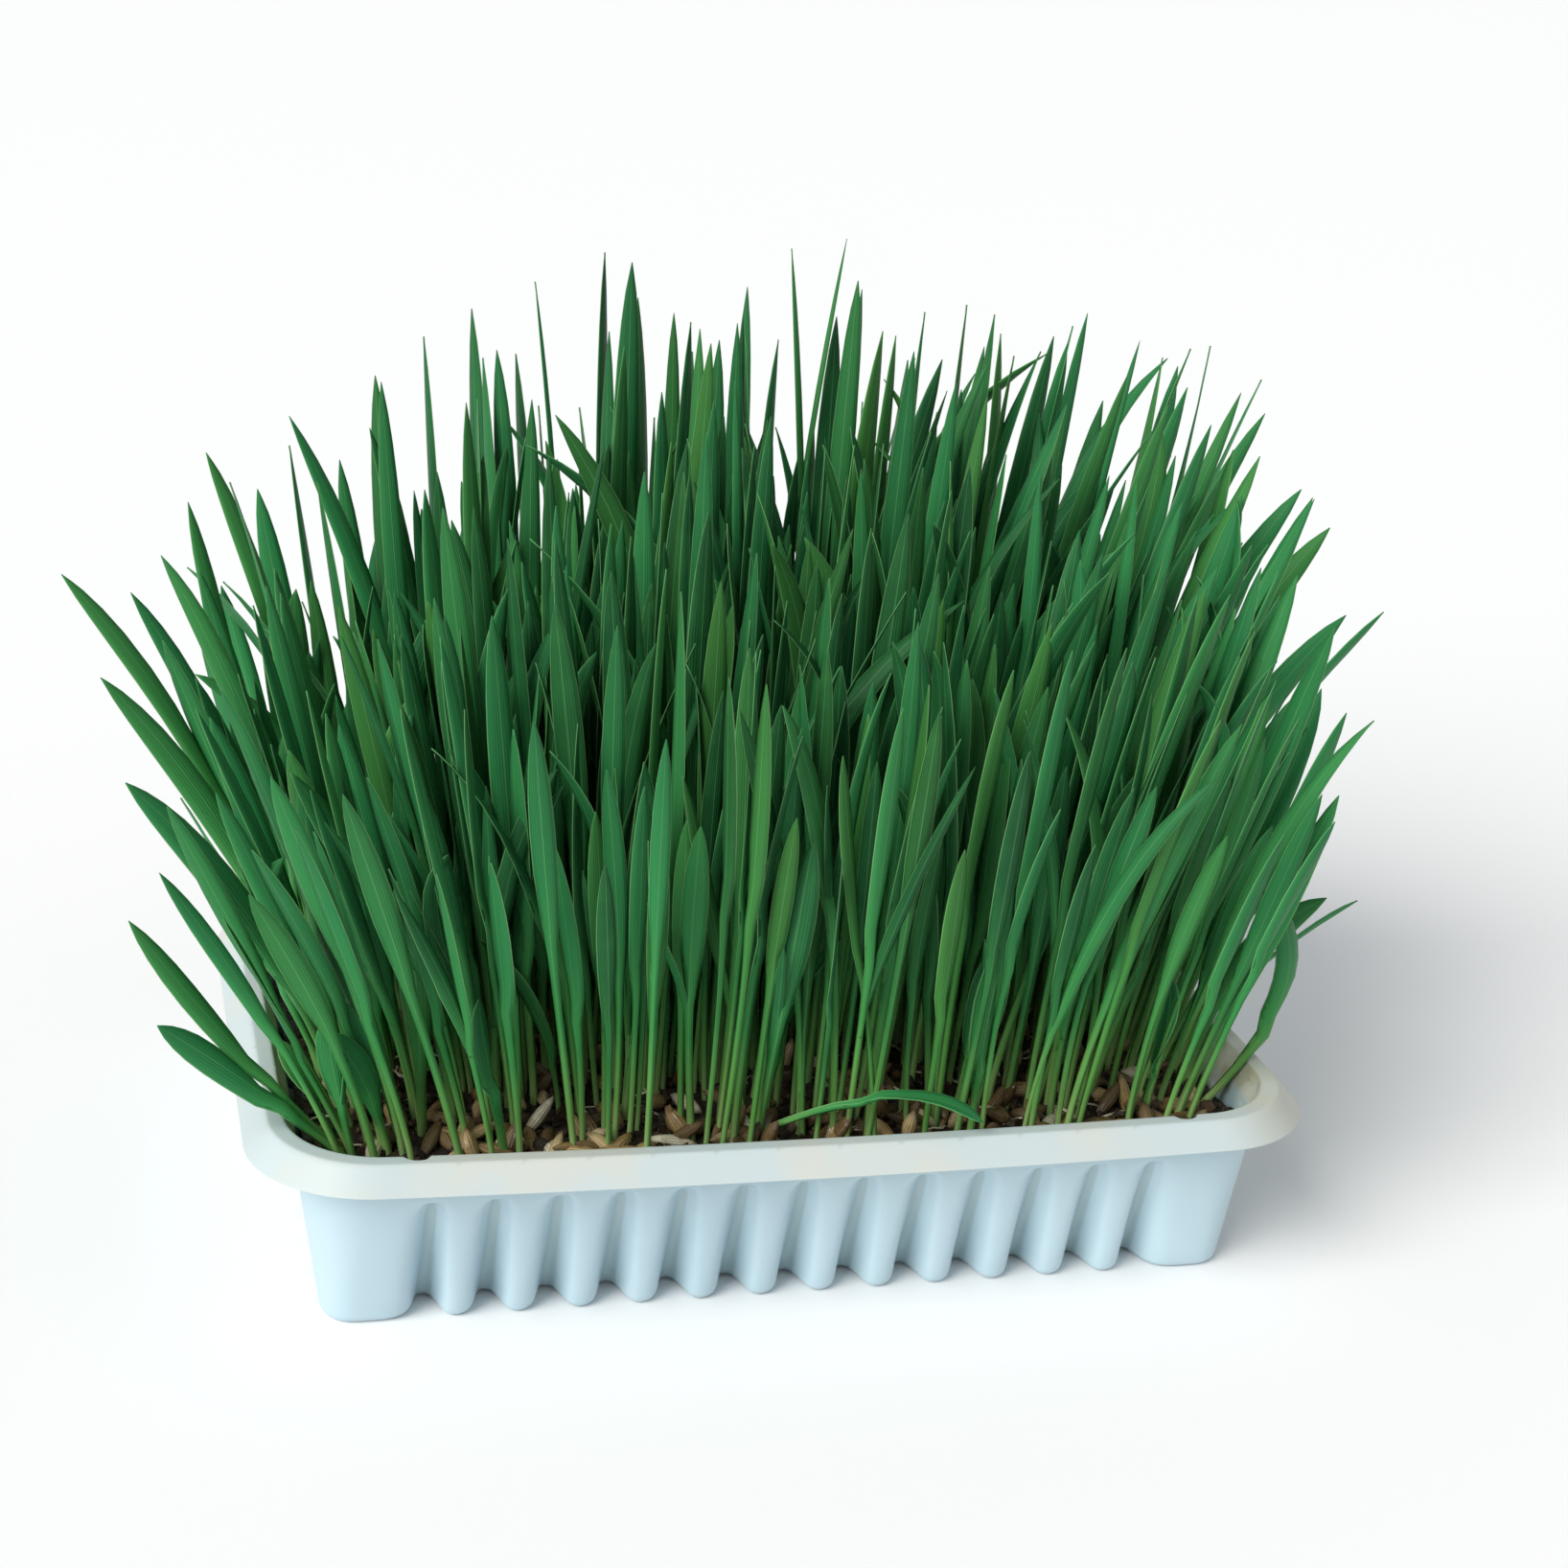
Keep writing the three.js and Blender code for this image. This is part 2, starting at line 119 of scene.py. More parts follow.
# Grains: the first ones lie in the front strip, and those near a wall lie along it
GRAIN_SEED = 7
GRAIN_COUNT = 390
FRONT_GRAINS = 85
FRONT_STRIP = 0.16
GRAIN_MARGIN = 2.3
GRAIN_LENGTHS = (6.6, 9.4)
GRAIN_WIDTHS = (2.3, 3.3)
GRAIN_RINGS = 9
GRAIN_SIDES = 12
GRAIN_ENDS = (0.015, 0.985)
GRAIN_POINT = 0.62
GRAIN_BELLY = (0.92, 1.05)
GRAIN_BELLY_RUN = 0.8
GRAIN_FLATNESS = 0.86
GRAIN_CREASE_DEPTH = 0.22
GRAIN_CREASE_WIDTH = 0.5
LYING_TILT = 0.25
STEEP_TILTS = (0.5, 1.3)
TILT_CHANCES = (0.62, 0.38)
WALL_STRIP = 6.0
CORNER_STRIP = 12.0
WALL_TILT = 0.15
WALL_SLANT = 0.2
GRAIN_LIFT = (0.3, 1.5)
TILT_LIFT = 0.18
PALE_CHANCE = 0.09
PALE_TONE = 0.97
GRAIN_TONES = (0.0, 0.92)

# Thin roots that show on the soil
STRAND_SEED = 19
STRAND_COUNT = 170
STRAND_MARGIN = 7.0
STRAND_STEPS = 8
STRAND_STEP = 1.1
STRAND_RISE = 0.9
STRAND_BEND = 0.45
STRAND_RADII = (0.28, 0.12)
STRAND_SIDES = 6

# Clumps and their shoots, as the frame has them
COLUMNS = 8
ROWS = 5
COLUMN_PITCH = 20.2
ROW_PITCH = 21.0
ROW_SHIFT = 2.5
FIRST_SEED = 101
SEED_STEP = 17
CROWN_TOP = SOIL_TOP - 0.9
SHOOT_SIDE = 3
SHOOTS_MISSING = 0.08
ROOT_SPREAD = 2.9
ROOT_WANDER = 0.8
TIP_SPREAD = (6.5, 6.8)
SPREAD_POWER = 0.7
TIP_WANDER = 2.2
MEAN_HEIGHT = 101.0
BACK_GAIN = 23.0
LOSS_LEFT = 0.33
LOSS_RIGHT = 0.12
LEAN_HEIGHT = 110.0
LEAN_POWER = 1.2
LEAN_LEFT = 44.0
LEAN_RIGHT = 38.0
LEFT_TAPER = 0.5
RIGHT_TAPER = -0.05
LEAN_DEPTH = 14.0
SHORTEST = 0.72
TALLEST = 1.18
LEAF_WIDTH = 5.6
NARROWEST = 0.75
WIDEST = 1.1
LEAF_TURN = 2.4
LEAF_TWIST = 1.2

# Leaves that hang out over the rim, as the frame has them: clump, root, bend and tip, and width
STRAYS = (
    ((0, 0), ((-74.8, -42.8, 24), (-91.5, -45.2, 42), (-109.3, -51, 57.4)), 1.0),
    ((0, 0), ((-74.5, -41.5, 24), (-93.5, -43.8, 43), (-113.5, -47, 74)), 0.8),
    ((7, 1), ((75.5, -22.5, 24), (90, -23, 46), (113.5, -24, 61)), 1.0),
    ((7, 1), ((76.4, -18.5, 24), (88, -18, 58), (103.5, -19, 64)), 0.7),
    ((7, 1), ((75.5, -24.5, 24), (86, -27, 60), (95, -27, 63)), 0.7),
    ((3, 0), ((-13.5, -41, 24), (15, -57, 48.3), (28.2, -62, 38)), 0.8),
    ((0, 2), ((-77, 0, 24), (-93, 0, 84), (-123, 0, 118)), 0.8),
    ((7, 2), ((72, 0, 24), (92, 0, 76), (123, 0, 111)), 1.0),
)
STRAY_TWIST = -1.2

# Shoots' finer form: looser roots, narrower leaves, some sway, and longer stems at the front
ROOT_LOOSENING = 1.7
WANDER_LOOSENING = 4
LEAF_NARROWING = 0.95
SHOOT_SWAY = 1.6
SHOOT_SHEATHS = (0.34, 0.42)
FRONT_BAND = (-42.0, -20.0)
FRONT_SHEATH = 0.08
FRONT_NARROWING = 0.14

# Places along a leaf from just below its foot to its tip, and across it from edge to edge
STATIONS = np.array((-0.03, 0.02, 0.08, 0.15, 0.22, 0.29, 0.36, 0.44, 0.52, 0.60, 0.68, 0.76,
                     0.84, 0.90, 0.95, 0.98, 1.0))
SECTION = np.linspace(-0.5, 0.5, 5)
RIB_THICK = 0.34
EDGE_THICK = 0.10

# Flat width of a leaf up its length, and how tightly it is rolled: a tube at the foot, open above.
# Both are given for a leaf whose sheath ends at this share of its length.
SHEATH = 0.40
BELOW_FOOT = -0.1
WIDTH_AT = ((-0.1, 0.70), (0.3, 0.66), (0.40, 0.68), (0.50, 0.82), (0.62, 0.97), (0.73, 1.0),
            (0.83, 0.88), (0.91, 0.64), (0.96, 0.38), (1.0, 0.03))
ROLL_AT = ((-0.1, 5.7), (0.28, 5.4), (0.40, 3.8), (0.50, 1.9), (0.62, 1.0), (0.85, 0.7),
           (1.0, 0.5))
STEM_ROLL = 3
STEM_SINK = 0.9
ARC_TUCK = 0.02

# How bright and how yellow leaves are, with painted light on the leaves at both ends of the tray
BRIGHT_SPREAD = 0.8
BRIGHT_RARITY = 1.6
END_PAINTED_LIGHT = 0.45
YELLOW_RARITY = 3.0

# Second leaf of a shoot: the station it starts at, and its shares of the shoot's length and width
SECOND_SHARE = 0.25
SECOND_START = (5, 8)
SECOND_LENGTHS = (0.35, 0.62)
SECOND_WIDTHS = (0.32, 0.62)
SECOND_SPREAD = (0.08, 0.34)
SECOND_DEPTH = 0.35
SECOND_POWER = 1.4
SECOND_TUCK = 1.5
SECOND_TURN = 1.6
SECOND_TWIST = 0.7
SECOND_BRIGHTNESS = 0.8
SECOND_PAINT = 0.3
NARROW_LEAF = ((-0.1, 0.45), (0.1, 0.7), (0.35, 1.0), (0.7, 0.8), (0.9, 0.42), (1.0, 0.03))
OPEN_LEAF = ((-0.1, 3.4), (0.15, 2.2), (0.5, 1.0), (1.0, 0.7))

# Filling between the frame's shoots: thin at the front, with short late ones among it
FILL_SEED = 23
FILL_COLUMNS = 31
FILL_ROWS = 18
FILL_MARGIN = 4.0
FRONT_Y = -34.0
FULL_Y = -8.0
FRONT_SHARE = 0.4
FILL_HEIGHTS = (0.80, 1.10)
LATE_HEIGHTS = (0.3, 0.8)
HEIGHT_CHANCES = (0.72, 0.28)
RIGHT_GAIN = 0.07
RIGHT_GAIN_X = 40.0
FILL_WIDTHS = (0.55, 1.18)
FILL_SHEATHS = (0.28, 0.5)
FILL_TURN = 1.2
FILL_TWIST = 0.5
PLAIN_TWIST_SHARE = 0.65
STRONG_TWIST = 2.8
FILL_SWAY = 0.025
DRIFT_POWER = 1.6
DRIFT_ACROSS = (0.19, 0.085)
DRIFT_DEPTH = 0.03
DRIFT_SHARE = 0.22
DRIFT_REACH = np.array((30.0, 7.0))
DROOP = 0.10
DROOP_WAY = (1, 0.4)
DROOP_LOSS = 0.5
DROOP_POWER = 4
DROOPING_SHARE = 0.5
TIP_REACH_X = 104.0

# Single leaves that stand out of the rest: root, tip and width, seen along the sward's outline
OUTLIERS = (
    ((-77, -16), (-117, -20, 106), 0.9), ((-76, -30), (-113.5, -35, 93), 1.1),
    ((-79, 8), (-111.5, 10, 112), 0.8), ((-76, 18), (-106, 20, 116), 0.8),
    ((-70, 40), (-97, 45, 129), 0.75), ((-48, 44), (-81.5, 50, 135), 0.8),
    ((-46, 44), (-66.5, 50, 133), 0.7), ((-74, 28), (-93.5, 30, 127), 0.7),
    ((-36, 44), (-42.5, 52, 148), 0.8), ((-24, 45), (-35.5, 53, 161), 0.3),
    ((-18, 41), (-18, 48, 166), 1.0), ((-7, 44), (-8.5, 52, 156), 0.6),
    ((5, 43), (5, 51, 155.5), 0.45), ((24, 45), (14, 52, 169), 0.35),
    ((12, 45), (25.5, 54, 171), 0.22), ((22, 38), (25.5, 44, 164.5), 0.9),
    ((37, 44), (42, 52, 157.5), 0.5), ((46, 44), (55, 52, 151), 0.7),
    ((52, 42), (60, 48, 150), 0.7), ((60, 44), (72.5, 52, 152), 0.8),
    ((64, 45), (76.5, 53, 158), 0.7), ((70, 44), (88, 52, 153), 0.4),
    ((73, 40), (97, 47, 152.5), 1.0), ((76, 42), (116.5, 50, 139), 0.8),
    ((78, 36), (122, 40, 125.5), 1.0), ((79, 28), (124.5, 30, 120), 1.15),
    ((79, 13), (123, 15, 106), 1.15),
)
OUTLIER_SEED = 43
OUTLIER_BEND = (0.30, 0.35, 0.60)
OUTLIER_TURN = 0.5
OUTLIER_SHEATHS = (0.3, 0.45)

# The one leaf that droops at the right: root, bend and tip, and how it is made
DROOPING = ((80, -37, 25.5), (104.7, -38.5, 53.5), (86, -38, 70))
DROOPING_WIDTH = 1.15
DROOPING_TURN = 0.1
DROOPING_TWIST = 0.5
DROOPING_TONE = (0.8, 0.0)
DROOPING_SHEATH = 0.25

# The photograph's camera, from a fit to the tray's rim, creases, base and flutes
PHOTO_PIXELS = 1636
PHOTO_FOCAL = 2781.4
CAMERA_AZIMUTH = math.radians(-15.63)
CAMERA_ELEVATION = math.radians(19.27)
CAMERA_ROLL = math.radians(4.21)
CAMERA_DISTANCE = 495.1
CAMERA_TARGET = (5.8, 0.0, 78.0)
SENSOR_WIDTH = 36.0
NEAR_CLIP = 0.01

# Room: a wide floor, its half width in metres, with a soft sky and a soft sun from the left
FLOOR_HALF = 14.0
FLOOR_COLOUR = (0.96, 0.96, 0.96, 1)
SKY_COLOUR = (0.92, 0.96, 1.0, 1)
SKY_STRENGTH = 0.50
SUN_COLOUR = (1.0, 0.98, 0.94)
SUN_STRENGTH = 3.3
SUN_SIZE = math.radians(42)
SUN_WAY = (0.82, 0.56, -0.66)


# The frame's random numbers are made with these two
DRAW_FACTOR = 16807
DRAW_RANGE = 2147483647


def draws(seed):
    """The frame's own random numbers from 0 to 1, the same every time for one seed."""
    state = seed
    while True:
        state = state * DRAW_FACTOR % DRAW_RANGE
        yield state / DRAW_RANGE


def ramp(low, high, share):
    return low + (high - low) * share


# Meshes from arrays, with two UV maps for the materials to read
class Shape:
    """Points in millimetres, faces, and for each point its place on the piece and its tone."""

    def __init__(self):
        self.points, self.faces, self.place, self.tone, self.count = [], [], [], [], 0

    def add(self, points, faces, place=None, tone=(0.5, 0.5)):
        points = np.asarray(points, dtype=float)
        self.points.append(points)
        self.faces.extend([i + self.count for i in face] for face in faces)
        self.place.append(np.zeros((len(points), 2)) if place is None else np.asarray(place))
        self.tone.append(np.broadcast_to(tone, (len(points), 2)))
        self.count += len(points)

    def build(self, name, material, smooth=True):
        mesh = bpy.data.meshes.new(name)
        mesh.from_pydata((np.concatenate(self.points) * MM).tolist(), [], self.faces)
        corners = np.zeros(len(mesh.loops), dtype=np.int32)
        mesh.loops.foreach_get("vertex_index", corners)
        for layer, values in (("place", self.place), ("tone", self.tone)):
            uv = mesh.uv_layers.new(name=layer)
            uv.data.foreach_set("uv", np.concatenate(values)[corners].ravel().astype(np.float32))
        mesh.polygons.foreach_set("use_smooth", [smooth] * len(mesh.polygons))
        mesh.materials.append(material)
        mesh.update()
        piece = bpy.data.objects.new(name, mesh)
        bpy.context.scene.collection.objects.link(piece)
        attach(piece, "root")
        return piece


def band_faces(start, following, count):
    """Four-sided faces between two rings of points."""
    return [(start + i, start + (i + 1) % count, following + (i + 1) % count, following + i)
            for i in range(count)]


def ring_faces(rings, around, flip=False):
    """Faces of a closed form made of rings of points, with a cap at each end."""
    faces = [tuple(reversed(range(around)))]
    for i in range(rings - 1):
        faces += band_faces(i * around, (i + 1) * around, around)
    faces.append(tuple(range((rings - 1) * around, rings * around)))
    return [tuple(reversed(face)) for face in faces] if flip else faces


# Materials
class Nodes:
    """A material's node tree, with short ways to add to it."""

    def __init__(self, name):
        self.material = bpy.data.materials.new(name)
        self.material.use_nodes = True
        self.tree = self.material.node_tree
        self.shader = self.tree.nodes["Principled BSDF"]

    def add(self, kind, **settings):
        node = self.tree.nodes.new(kind)
        for key, value in settings.items():
            setattr(node, key, value)
        return node

    def link(self, source, target):
        self.tree.links.new(source, target)

    def math(self, operation, a, b=0.0):
        node = self.add("ShaderNodeMath", operation=operation)
        for socket, value in zip(node.inputs, (a, b)):
            if isinstance(value, (int, float)):
                socket.default_value = value
            else:
                self.link(value, socket)
        return node.outputs[0]

    def scaled(self, value, factor, offset):
        return self.math("ADD", self.math("MULTIPLY", value, factor), offset)

    def uv(self, layer):
        node = self.add("ShaderNodeSeparateXYZ")
        self.link(self.add("ShaderNodeUVMap", uv_map=layer).outputs[0], node.inputs[0])
        return node.outputs[0], node.outputs[1]

    def position(self):
        return self.add("ShaderNodeTexCoord").outputs["Object"]

    def noise(self, scale, detail=3.0, roughness=0.5):
        node = self.add("ShaderNodeTexNoise")
        node.inputs["Scale"].default_value = scale
        node.inputs["Detail"].default_value = detail
        node.inputs["Roughness"].default_value = roughness
        self.link(self.position(), node.inputs["Vector"])
        return node.outputs["Fac"]

    def ramp(self, factor, stops):
        node = self.add("ShaderNodeValToRGB")
        elements = node.color_ramp.elements
        while len(elements) < len(stops):
            elements.new(0.5)
        for element, (place, colour) in zip(elements, stops):
            element.position = place
            element.color = (*colour, 1)
        self.link(factor, node.inputs[0])
        return node.outputs[0]

    def mix(self, factor, a, b):
        node = self.add("ShaderNodeMix", data_type="RGBA")
        for socket, value in zip((node.inputs[0], node.inputs[6], node.inputs[7]), (factor, a, b)):
            if isinstance(value, tuple):
                socket.default_value = (*value, 1)
            else:
                self.link(value, socket)
        return node.outputs[2]

    def tint(self, colour, mask, strength, paint):
        """The colour, turned towards the paint where the mask is, by this strength at most."""
        return self.mix(self.math("MULTIPLY", mask, strength), colour, paint)

    def from_middle(self, value):
        """How far a place from 0 to 1 is from its middle."""
        return self.math("ABSOLUTE", self.math("SUBTRACT", value, 0.5))

    def band(self, value, low, high):
        node = self.add("ShaderNodeMapRange", interpolation_type="SMOOTHSTEP")
        self.link(value, node.inputs[0])
        node.inputs[1].default_value = low
        node.inputs[2].default_value = high
        return node.outputs[0]

    def bump(self, height, strength, distance):
        node = self.add("ShaderNodeBump")
        node.inputs["Strength"].default_value = strength
        node.inputs["Distance"].default_value = distance
        self.link(height, node.inputs["Height"])
        self.link(node.outputs[0], self.shader.inputs["Normal"])

    def set(self, **values):
        for key, value in values.items():
            socket = self.shader.inputs[key.replace("_", " ")]
            if isinstance(value, (int, float, tuple)):
                socket.default_value = value
            else:
                self.link(value, socket)
        return self.material


# Leaf colours, from the foot of the stem to the tip; from 0.65 to the tip both ramps darken, painted
# shade over the top of the sward
DEEP_LEAF = (
    (0.0, (0.26, 0.37, 0.14)), (0.12, (0.10, 0.25, 0.055)), (0.30, (0.016, 0.115, 0.028)),
    (0.65, (0.003, 0.050, 0.015)), (1.0, (0.003, 0.042, 0.013)))
BRIGHT_LEAF = (
    (0.0, (0.38, 0.49, 0.19)), (0.14, (0.17, 0.37, 0.09)), (0.34, (0.042, 0.26, 0.062)),
    (0.65, (0.026, 0.225, 0.070)), (1.0, (0.018, 0.170, 0.054)))
YELLOW_LEAF = (0.060, 0.210, 0.030)
LEAF_PATCH = (0.035, 0.20, 0.05)
LEAF_VEIN = (0.07, 0.32, 0.09)
LEAF_MIDRIB = (0.12, 0.36, 0.13)
LEAF_MARGIN = (0.22, 0.46, 0.18)
VEIN_TURNS = 62.0

# Plastic colours: the body's two, the rim's two and its sallow end, the painted shade in the flutes'
# grooves, and the dirt in both
BODY_WHITES = ((0.44, 0.58, 0.65), (0.49, 0.635, 0.70))
RIM_CREAMS = ((0.53, 0.61, 0.625), (0.585, 0.605, 0.56))
RIM_SALLOW = (0.55, 0.50, 0.36)
SALLOW_FROM_X = 0.070
SALLOW_TO_X = 0.094
RIM_BLUR = 0.6
GROOVE_PAINTED_SHADE = (0.24, 0.32, 0.29)
SOIL_STAIN = (0.33, 0.31, 0.13)

# Soil and grain colours, from dark to light
SOIL_BROWNS = (
    (0.30, (0.006, 0.005, 0.003)), (0.52, (0.022, 0.015, 0.008)), (0.75, (0.065, 0.040, 0.019)))
LIGHT_CRUMB = (0.115, 0.062, 0.028)
GRAIN_STRAWS = (
    (0.0, (0.055, 0.036, 0.014)), (0.35, (0.17, 0.110, 0.040)), (0.70, (0.36, 0.245, 0.095)),
    (0.90, (0.54, 0.44, 0.24)), (1.0, (0.75, 0.73, 0.55)))
GRAIN_RIB = (0.08, 0.045, 0.02)
GRAIN_END_BROWN = (0.075, 0.035, 0.014)
GRAIN_MOTTLE = (0.09, 0.05, 0.024)
RIB_TURNS = 75.0
ROOT_CREAM = (0.62, 0.60, 0.46)
ROOT_BROWN = (0.40, 0.36, 0.22)


def leaf_material():
    """Wheat leaf: pale stem, green blade with fine veins and a pale margin."""
    n = Nodes("wheat_leaf")
    across, along = n.uv("place")
    tone, yellow = n.uv("tone")
    # painted shade: both ramps darken towards the leaf tips
    colour = n.mix(tone, n.ramp(along, DEEP_LEAF), n.ramp(along, BRIGHT_LEAF))
    colour = n.tint(colour, yellow, 0.55, YELLOW_LEAF)
    colour = n.tint(colour, n.band(n.noise(120.0), 0.35, 0.75), 0.20, LEAF_PATCH)
    veins = n.math("SINE", n.math("MULTIPLY", across, VEIN_TURNS))
    colour = n.tint(colour, n.math("ADD", veins, 1.0), 0.07, LEAF_VEIN)
    from_rib = n.from_middle(across)
    rib = n.math("SUBTRACT", 1.0, n.band(from_rib, 0.0, 0.05))
    colour = n.tint(colour, rib, 0.30, LEAF_MIDRIB)
    colour = n.tint(colour, n.band(from_rib, 0.44, 0.495), 0.50, LEAF_MARGIN)
    n.bump(veins, strength=0.25, distance=0.00008)
    rough = n.scaled(n.noise(300.0), 0.14, 0.42)
    return n.set(Base_Color=colour, Roughness=rough, Specular_IOR_Level=0.16)


def plastic_material():
    """Thermoformed white sheet, a little blue, with painted shade deep in the flutes' grooves and
    damp marks where the soil has touched it.
    """
    n = Nodes("white_sheet")
    place = n.add("ShaderNodeSeparateXYZ")
    n.link(n.position(), place.inputs[0])
    x, _, z = place.outputs
    groove, inner = n.uv("tone")
    colour = n.mix(n.band(n.noise(22.0), 0.3, 0.7), *BODY_WHITES)
    rim = n.band(z, (HEIGHT - RIM_DROP - RIM_BLUR) * MM, (HEIGHT - RIM_DROP) * MM)
    cream = n.mix(n.band(n.noise(34.0), 0.45, 0.65), *RIM_CREAMS)
    cream = n.tint(cream, n.band(x, SALLOW_FROM_X, SALLOW_TO_X), 0.55, RIM_SALLOW)
    colour = n.mix(rim, colour, cream)
    # painted shade: the deepest part of each flute's groove is turned darker and greener
    colour = n.tint(colour, n.band(groove, 0.85, 1.0), 0.34, GROOVE_PAINTED_SHADE)
    blots = n.band(n.noise(90.0, detail=5.0, roughness=0.65), 0.42, 0.68)
    colour = n.tint(colour, n.math("MULTIPLY", inner, blots), 0.8, SOIL_STAIN)
    n.bump(n.noise(70.0), strength=0.06, distance=0.001)
    rough = n.scaled(n.noise(160.0), 0.12, 0.30)
    return n.set(Base_Color=colour, Roughness=rough, Specular_IOR_Level=0.45)


def soil_material():
    """Damp dark potting soil, wet in places."""
    n = Nodes("damp_soil")
    tone, _ = n.uv("tone")
    fine = n.noise(900.0, detail=6.0, roughness=0.7)
    colour = n.tint(n.ramp(fine, SOIL_BROWNS), tone, 0.65, LIGHT_CRUMB)
    n.bump(fine, strength=0.8, distance=0.0006)
    rough = n.scaled(n.band(n.noise(260.0), 0.50, 0.58), -0.80, 0.90)
    return n.set(Base_Color=colour, Roughness=rough, Specular_IOR_Level=0.5)


def grain_material():
    """Husked grain: straw to brown, with lengthwise ribs and darker ends."""
    n = Nodes("husked_grain")
    across, along = n.uv("place")
    tone, _ = n.uv("tone")
    ribs = n.math("SINE", n.math("MULTIPLY", across, RIB_TURNS))
    colour = n.tint(n.ramp(tone, GRAIN_STRAWS), n.math("ADD", ribs, 1.0), 0.20, GRAIN_RIB)
    colour = n.tint(colour, n.band(n.from_middle(along), 0.30, 0.50), 0.55, GRAIN_END_BROWN)
    mottle = n.band(n.noise(700.0, detail=4.0), 0.45, 0.70)
    colour = n.tint(colour, mottle, 0.3, GRAIN_MOTTLE)
    n.bump(ribs, strength=0.45, distance=0.0001)
    rough = n.scaled(n.band(n.noise(350.0), 0.50, 0.60), -0.48, 0.60)
    return n.set(Base_Color=colour, Roughness=rough, Specular_IOR_Level=0.55)


def root_material():
    n = Nodes("pale_root")
    colour = n.mix(n.band(n.noise(500.0), 0.4, 0.7), ROOT_CREAM, ROOT_BROWN)
    return n.set(Base_Color=colour, Roughness=0.55)


# Tray: rounded rectangles at a run of levels, every one with the same number of points
def body_inset(z):
    return ramp(BASE_INSET, NECK_INSET, z / NECK_HEIGHT)


def body_radius(z):
    return ramp(BASE_RADIUS, NECK_RADIUS, z / NECK_HEIGHT)


def side_stations(side, straight, mouth):
    """Places along one side: [distance from the side's middle, distance from the flute's middle]."""
    middles = (np.arange(FLUTE_COUNTS[side]) - (FLUTE_COUNTS[side] - 1) / 2) * FLUTE_PITCHES[side]
    fit = min(1.0, (straight - END_GAP) / (middles[-1] + mouth))
    stations = []
    reached = -straight
    for middle in middles * fit:
        steps = RIB_STEPS if stations else END_STEPS
        ribs = np.linspace(reached, middle - mouth * fit, steps, endpoint=False)
        stations += [(u, mouth) for u in ribs]
        stations += [(middle + off * fit, abs(off))
                     for off in np.linspace(-mouth, mouth, FLUTE_STEPS)]
        reached = middle + mouth * fit
    return stations + [(u, mouth) for u in np.linspace(reached, straight, END_STEPS + 1)[1:-1]]


def notch_at(u):
    """How deep the half-round notch is at this place along a long side."""
    off = abs(abs(u) - NOTCH_X)
    return math.sqrt(max(0.0, NOTCH_RADIUS ** 2 - off ** 2))


def level(z, inset, radius, bow=0.0, notch=0.0, mouth=PLAIN_MOUTH, depth_at=None):
    """One closed level of the tray: points, and how deep in a flute each one lies, 0 to 1."""
    halves = (LENGTH / 2 - inset, WIDTH / 2 - inset)
    points, shares = [], []
    for side in range(4):
        along, across = halves[side % 2], halves[(side + 1) % 2]
        straight = along - radius
        run = []
        for u, off in side_stations(side % 2, straight, mouth):
            share = depth_at(off) if depth_at else 0.0
            bulge = bow * (1 - (u / straight) ** 2) if side % 2 == 0 else 0.0
            cut = notch_at(u) * notch if side % 2 == 0 and notch else 0.0
            run.append((u, FLUTE_DEPTH * share - bulge - cut, share))
        for angle in np.linspace(0, math.pi / 2, CORNER_STEPS, endpoint=False):
            run.append((straight + radius * math.sin(angle), radius * (1 - math.cos(angle)), 0.0))
        turn = side * math.pi / 2
        for u, v, share in run:
            points.append((u * math.cos(turn) + (across - v) * math.sin(turn),
                           u * math.sin(turn) - (across - v) * math.cos(turn), z))
            shares.append(share)
    return np.array(points), np.array(shares)


def fluted_level(z, offset):
    """A level of the body, offset inwards: flutes with sloping flanks, and round at their tops."""
    arch = max(0.0, (z - ARCH_START) / (ARCH_TOP - ARCH_START))
    narrowing = math.sqrt(max(0.0, 1 - arch ** 2))
    taper = max(0.0, 1 - z / FLUTE_TOP)
    depth = (taper + ARCH_DEPTH / FLUTE_DEPTH) * min(1.0, narrowing * ARCH_CRISPNESS)
    floor = (ramp(FLUTE_FLOOR / 2, FLOOR_AT_TOP, 1 - taper) + FLUTE_GROWTH * offset) * narrowing
    mouth = max((PLAIN_MOUTH + FLUTE_GROWTH * offset) * narrowing, floor + LEAST_FLANK)

    def depth_at(off):
        return depth * min(1.0, max(0.0, (mouth - off) / (mouth - floor)))

    loop, shares = level(z, body_inset(z) + offset, body_radius(z) - offset,
                         mouth=max(mouth, PLAIN_MOUTH), depth_at=depth_at)
    # Formed sheet has no sharp edge: the flutes' corners are eased along the level
    for _ in range(EASING_PASSES):
        loop = 0.5 * loop + 0.25 * (np.roll(loop, 1, axis=0) + np.roll(loop, -1, axis=0))
    return loop, shares / max(depth, LEAST_DEPTH)


def body_heights():
    """Heights of the body's levels above its rounded base, close together at the flutes' tops."""
    arches = [ramp(ARCH_START, ARCH_TOP, share) for share in ARCH_SHARES]
    return list(np.linspace(BASE_ROUND, ARCH_START, BODY_STEPS)[1:]) + arches


